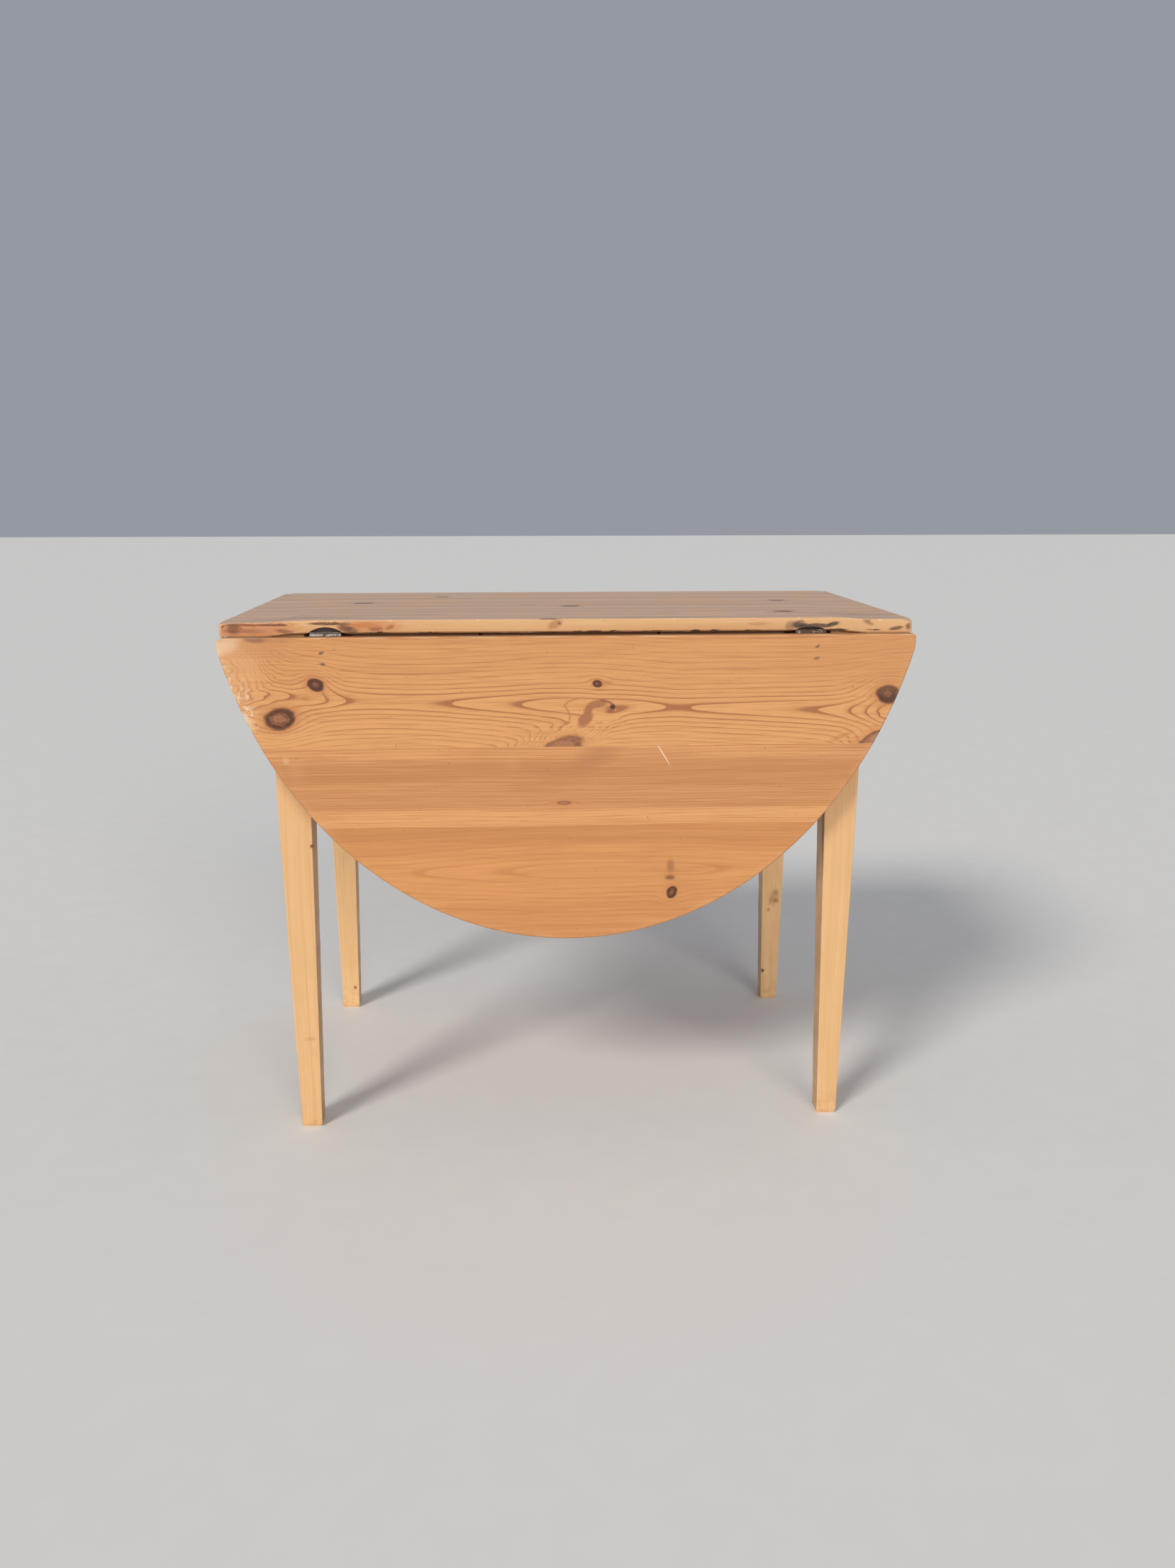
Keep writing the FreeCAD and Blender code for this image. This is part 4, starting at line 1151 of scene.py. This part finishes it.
def rim_points(start, end):
    """The right rim of a leaf between two depths, going down."""
    first = math.asin((start + OVAL_RISE) / OVAL_DEEP)
    last = math.asin(min(1, (end + OVAL_RISE) / OVAL_DEEP))
    count = max(2, round((last - first) * OVAL_DEEP / OUTLINE_STEP))
    angles = [first + (last - first) * i / count for i in range(count + 1)]
    return [(min(LEAF_END, OVAL_WIDE * math.cos(a)), OVAL_DEEP * math.sin(a) - OVAL_RISE) for a in angles]


def corner_points(x, y, sx, sy, radius):
    """A rounded corner of an outline, from its side along x to its side along y."""
    turns = [math.radians(90 * i / CORNER_STEPS) for i in range(CORNER_STEPS + 1)]
    middle = (x - sx * radius, y - sy * radius)
    return [(middle[0] + sx * radius * math.sin(t), middle[1] + sy * radius * math.cos(t)) for t in turns]


def leaf_runs(start, end):
    """Outline of one board of a leaf, between two depths below its hinge edge."""
    right = rim_points(start, end)
    left = [(-a, b) for a, b in reversed(right)]
    if start == 0:
        corner = corner_points(LEAF_END, 0, 1, -1, RIGHT_CORNER)
        right = corner + [point for point in right if point[1] > RIGHT_CORNER + MM]
        corner = corner_points(-LEAF_END, 0, -1, -1, LEFT_CORNER)
        left = [point for point in left if point[1] > LEFT_CORNER + MM] + corner[::-1]
    runs = [(along_line(left[-1], right[0]), start == 0), (right[:-1], True)]
    if end < LEAF_DEPTH:
        runs.append(([right[-1]], False))
    return runs + [(left[:-1], True)]


def leaf_cutters(fy):
    """Beds for the hinge flaps in a leaf's inner face, and grooves that clear the knuckles."""
    tools = []
    inner = fy * (LEAF_FACE - BOARD)
    for sx in SIDES.values():
        x = sx * HINGE_X
        depth = sorted((inner - fy * OVERRUN, inner + fy * FLAP_THICKNESS))
        tools.append(box_cutter((x - HINGE_WIDTH / 2, depth[0], HINGE_Z - FLAP_REACH),
                                (x + HINGE_WIDTH / 2, depth[1], HINGE_Z + OVERRUN)))
        tools.append(round_cutter((x, fy * HINGE_Y, HINGE_Z), (1, 0, 0), KNUCKLE_ROOM, HINGE_WIDTH + MM))
    return tools


def make_leaf(face, fy, boards, tree):
    """One leaf, hanging: three boards glued edge to edge."""
    depths = [0, *LEAF_JOINTS, LEAF_DEPTH]

    def place(a, b, depth):
        return (a, fy * (LEAF_FACE - depth), LEAF_TOP - b)

    for i, (height, board) in enumerate(zip(("upper", "middle", "lower"), boards)):
        piece = plank(f"{face}_leaf_{height}_plank", leaf_runs(depths[i], depths[i + 1]), place, LEAF_EASE)
        run_tree(piece, tree, {**LEAF_WEAR, "Seed": 3.0 * fy + i, "Material": leaf_finish(board)})
        if height == "upper":
            carve(piece, leaf_cutters(fy))
        smooth(piece)
        hang(piece, f"{face}_leaf", "pine_leaf", f"{face}_leaf_{height}_board")


# Fixed top


def top_runs(low, high):
    """Outline of one board of the top, from its front to its rear line."""
    front_free = low <= -TOP_EDGE
    rear_free = high >= TOP_EDGE
    if front_free:
        left = corner_points(-TOP_END, low, -1, -1, CORNER_RADIUS)[::-1]
        right = corner_points(TOP_END, low, 1, -1, CORNER_RADIUS)
    else:
        left, right = [(-TOP_END, low)], [(TOP_END, low)]
    if rear_free:
        far_right = corner_points(TOP_END, high, 1, 1, CORNER_RADIUS)[::-1]
        far_left = corner_points(-TOP_END, high, -1, 1, CORNER_RADIUS)
    else:
        far_right, far_left = [(TOP_END, high)], [(-TOP_END, high)]
    return [
        (left[:-1], True), (along_line(left[-1], right[0]), front_free),
        (right[:-1], True), (along_line(right[-1], far_right[0]), True),
        (far_right[:-1], True), (along_line(far_right[-1], far_left[0]), rear_free),
        (far_left[:-1], True), (along_line(far_left[-1], left[0]), True),
    ]


def top_cutters(fy):
    """Beds for the hinge flaps under the top, and the half-moon scoops over the knuckles."""
    tools = []
    for sx in SIDES.values():
        height = LOW_SCOOP_HEIGHT if (sx, fy) == (SIDES["right"], FACES["front"]) else SCOOP_HEIGHT
        radius = (SCOOP_WIDTH ** 2 / 4 + height ** 2) / (2 * height)
        x = sx * HINGE_X
        reach = sorted((fy * (HINGE_Y - FLAP_REACH), fy * (HINGE_Y + OVERRUN)))
        tools.append(box_cutter((x - HINGE_WIDTH / 2, reach[0], UNDERSIDE - OVERRUN),
                                (x + HINGE_WIDTH / 2, reach[1], UNDERSIDE + FLAP_THICKNESS)))
        middle = (x, fy * (TOP_EDGE + (OVERRUN - SCOOP_DEPTH) / 2), UNDERSIDE + height - radius)
        tools.append(round_cutter(middle, (0, 1, 0), radius, SCOOP_DEPTH + OVERRUN))
    return tools


FLAT_UNDERSIDE = 0.999


def make_top(tree):
    """The fixed top: three boards, the outer two scooped and bedded for the hinges."""
    lines = [-TOP_EDGE, *TOP_JOINTS, TOP_EDGE]
    finishes = {"front": top_edge_finish, "middle": top_finish, "rear": top_finish}

    def share(a, b):
        """How much of the droop reaches a place: all of it at the front corners, none at the rear."""
        way = min(1, max(0, (abs(a) - DROOP_START) / (DROOP_END - DROOP_START)))
        return way * way * (3 - 2 * way) * (TOP_EDGE - b) / (2 * TOP_EDGE)

    def knock(a, b):
        """How far a corner's upper face is knocked down, most of all at the front right."""
        away = math.hypot(TOP_END - abs(a), TOP_EDGE - abs(b))
        near = max(0, 1 - away / CORNER_REACH)
        return (CORNER_DROP if a > 0 > b else CORNER_DROP / 2) * near * near

    def lay(a, b, depth):
        """Lays a point of a board in place; the edge's lip hangs lower than the flat underside."""
        low = depth / BOARD
        lip = LIP * low if low < FLAT_UNDERSIDE else 0
        return (a, b, TOP_Z - depth - share(a, b) * (DROOP + lip) - knock(a, b) * (1 - low))

    reaches = (CORNER_REACH / 2 - CUT_INSET, CORNER_REACH - CUT_INSET)
    bends = round((DROOP_END - DROOP_START) / OUTLINE_STEP)
    places = [DROOP_START + OUTLINE_STEP * (i - 0.5) for i in range(bends + 2)]
    places += [TOP_END - reach for reach in reaches]
    ends = [((sx * place, 0, 0), (1, 0, 0)) for place in places for sx in SIDES.values()]

    for i, (name, finish) in enumerate(finishes.items()):
        cuts = list(ends)
        if name in FACES:
            cuts += [((0, FACES[name] * (TOP_EDGE - reach), 0), (0, 1, 0)) for reach in reaches]
        piece = plank(f"top_{name}_plank", top_runs(lines[i], lines[i + 1]), lay, TOP_EASE, cuts)
        run_tree(piece, tree, {**TOP_WEAR, "Seed": 11.0 + i, "Material": finish(TOP_BOARDS[name])})
        if name in FACES:
            carve(piece, top_cutters(FACES[name]))
        smooth(piece)
        hang(piece, "frame", "pine_top", f"top_board_{name}")


# Legs


def make_legs():
    """Four legs, each swept up a line of levels that lie closer at the foot."""
    tree = leg_tree()
    taper_height = UNDERSIDE - LEG_SQUARE
    count = round(taper_height / (2 * OUTLINE_STEP))
    levels = [0, FOOT_CHAMFER_HEIGHT]
    levels += [taper_height * i / count for i in range(1, count + 1)] + [UNDERSIDE]
    steps = [(i, i + 1) for i in range(len(levels) - 1)]
    seed = 20
    for face, fy in FACES.items():
        for side, sx in SIDES.items():
            seed += 1
            piece = piece_from_points(f"leg_{face}_{side}_timber", [(0, 0, z) for z in levels], steps)
            run_tree(piece, tree, {
                "Size": LEG_SIZE, "Foot": LEG_FOOT, "Taper Height": taper_height, "Arris": LEG_ARRIS,
                "Chamfer": FOOT_CHAMFER, "Chamfer Height": FOOT_CHAMFER_HEIGHT, "Wear": LEG_WEAR,
                "Seed": float(seed), "Place": (sx * LEG_X, fy * LEG_Y, 0),
                "Material": leg_finish(f"leg_{face}_{side}_pine", sx, fy, seed),
            })
            hang(piece, "frame", "pine_leg", f"leg_{face}_{side}")


# Hardware and frame


SAME_POINT = 1e-6


def screw_boxes(node):
    """The box round each of the frame's own screws of a group, in the order of its mesh."""
    shape = bmesh.new()
    shape.from_mesh(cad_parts[node].data)
    bmesh.ops.remove_doubles(shape, verts=shape.verts, dist=SAME_POINT)
    left = dict.fromkeys(shape.verts)
    boxes = []
    while left:
        found, rest = [], [left.popitem()[0]]
        while rest:
            vert = rest.pop()
            found.append(vert)
            for line in vert.link_edges:
                other = line.other_vert(vert)
                if other in left:
                    del left[other]
                    rest.append(other)
        box = [[pick(vert.co[i] for vert in found) for i in range(3)] for pick in (min, max)]
        boxes.append([Vector(corner) for corner in box])
    shape.free()
    return boxes


# Head radius, head height, shank radius and length of a screw
HINGE_SCREW = (0.0036, 0.0019, 0.0017, 0.015)
BUTTON_SCREW = (0.0038, 0.0024, 0.0019, 0.027)
SCREWS = {
    "button_screws": ("frame", (0, 0, 1), BUTTON_SCREW),
    "hinge_screws_top_front": ("frame", (0, 0, 1), HINGE_SCREW),
    "hinge_screws_top_rear": ("frame", (0, 0, 1), HINGE_SCREW),
    "hinge_screws_leaf_front": ("front_leaf", (0, -1, 0), HINGE_SCREW),
    "hinge_screws_leaf_rear": ("rear_leaf", (0, 1, 0), HINGE_SCREW),
}


def make_screws(steel):
    """Puts a slotted screw where each plain one of the frame is, its head at the same end."""
    tree = screw_tree()
    for seed, (node, (body, way, sizes)) in enumerate(SCREWS.items()):
        head, height, shank, length = sizes
        places = []
        for low, high in screw_boxes(node):
            places.append((low + high) / 2 - Vector(way) * (high - low) / 2)
        piece = piece_from_points(node.replace("screws", "slotted_screws"), places)
        run_tree(piece, tree, {
            "Head Radius": head, "Head Height": height, "Shank Radius": shank, "Length": length,
            "Slot": SLOT_WIDTH, "Way": way, "Seed": seed, "Material": steel,
        })
        hang(piece, body, "steel", node)


def paint(material, starts, without=()):
    """Gives a material to the frame's own nodes whose names start so, without certain words."""
    for name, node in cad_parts.items():
        if name.startswith(starts) and not any(word in name for word in without):
            node.data.materials.clear()
            node.data.materials.append(material)


RAIL_HEIGHT = 650


def dress_frame():
    """Finishes for the pieces whose shape comes straight from the frame."""
    lengthwise = rail_finish("long_rail_pine", lambda wood: (wood.x, wood.z - RAIL_HEIGHT, wood.y))
    crosswise = rail_finish("cross_rail_pine", lambda wood: (wood.y, wood.z - RAIL_HEIGHT, wood.x))
    steel = iron_finish("screw_steel", SCREW_GREY, 0.05)
    paint(lengthwise, "side_rail")
    paint(crosswise, ("end_rail", "middle_rail", "top_button"))
    paint(beech_finish(), "fly_", ("pin", "screw"))
    paint(iron_finish("hinge_iron", HINGE_GREY, 0), "hinge_", ("screw",))
    paint(steel, ("fly_pin", "fly_block_screws"))
    make_screws(steel)


# Studio

CAMERA_PLACE = (-0.0662, -1.8953, 0.8714)
CAMERA_YAW = math.radians(3.07)
CAMERA_PITCH = math.radians(12.709)
CAMERA_ROLL = math.radians(-0.066)
FOCAL_PIXELS = 1777.26
IMAGE_HEIGHT = 2212
SENSOR_HEIGHT = 24.0

# Lamps: azimuth, elevation and spread in degrees, strength and colour
LAMPS = {
    "key": (-38, 38, 16, 1.78, (1.0, 0.96, 0.90)),
    "fill": (14, 22, 30, 1.06, (1.0, 0.97, 0.92)),
}
SKY = (0.30, 0.32, 0.36)
SKY_STRENGTH = 1.0
FLOOR_REACH = 30.0
FLOOR_DIM = (0.74, 0.73, 0.71)
FLOOR_BRIGHT = (0.78, 0.77, 0.75)
FLOOR_ROUGHNESS = 0.8


def make_camera():
    """The photograph's camera, as fitted to the table's edges."""
    lens = bpy.data.cameras.new("camera")
    lens.sensor_fit = "VERTICAL"
    lens.sensor_height = SENSOR_HEIGHT
    lens.lens = FOCAL_PIXELS * SENSOR_HEIGHT / IMAGE_HEIGHT
    camera = new_object("camera", lens)
    level = math.cos(CAMERA_PITCH)
    ahead = Vector((math.sin(CAMERA_YAW) * level, math.cos(CAMERA_YAW) * level, -math.sin(CAMERA_PITCH)))
    right = Vector((math.cos(CAMERA_YAW), -math.sin(CAMERA_YAW), 0))
    up = right.cross(ahead)
    tilted = right * math.cos(CAMERA_ROLL) + up * math.sin(CAMERA_ROLL)
    up = up * math.cos(CAMERA_ROLL) - right * math.sin(CAMERA_ROLL)
    turn = Matrix((tilted, up, -ahead)).transposed().to_4x4()
    camera.matrix_world = Matrix.Translation(CAMERA_PLACE) @ turn
    bpy.context.scene.camera = camera


def lamp(name, azimuth, elevation, spread, strength, colour):
    """A wide soft light far away: azimuth to the right of the table's front, spread across."""
    light = bpy.data.lights.new(name, "SUN")
    light.angle = math.radians(spread)
    light.energy = strength
    light.color = colour
    holder = new_object(name, light)
    level = math.cos(math.radians(elevation))
    way = Vector((math.sin(math.radians(azimuth)) * level, -math.cos(math.radians(azimuth)) * level,
                  math.sin(math.radians(elevation))))
    holder.rotation_euler = way.to_track_quat("Z", "Y").to_euler()


def make_studio():
    """A pale floor, an even sky and the lamps."""
    corners = [(-1, -1), (1, -1), (1, 1), (-1, 1)]
    points = [(a * FLOOR_REACH, b * FLOOR_REACH, 0) for a, b in corners]
    floor = piece_from_points("floor", points, faces=[(0, 1, 2, 3)])
    finish = new_material("studio_floor")
    link(finish, speckle(finish.spot, 0.02, 2).blend(FLOOR_DIM, FLOOR_BRIGHT), "Base Color")
    finish.shader.inputs["Roughness"].default_value = FLOOR_ROUGHNESS
    floor.data.materials.append(finish.material)
    world = bpy.data.worlds.new("studio")
    world.use_nodes = True
    sky = world.node_tree.nodes["Background"].inputs
    sky["Color"].default_value = (*SKY, 1)
    sky["Strength"].default_value = SKY_STRENGTH
    bpy.context.scene.world = world
    for name, light in LAMPS.items():
        lamp(name, *light)
    bpy.context.scene.view_settings.view_transform = "Standard"


def build():
    tree = wear_tree()
    make_leaf("front", -1, FRONT_LEAF, tree)
    make_leaf("rear", 1, REAR_LEAF, tree)
    make_top(tree)
    make_legs()
    dress_frame()
    make_camera()
    make_studio()


build()
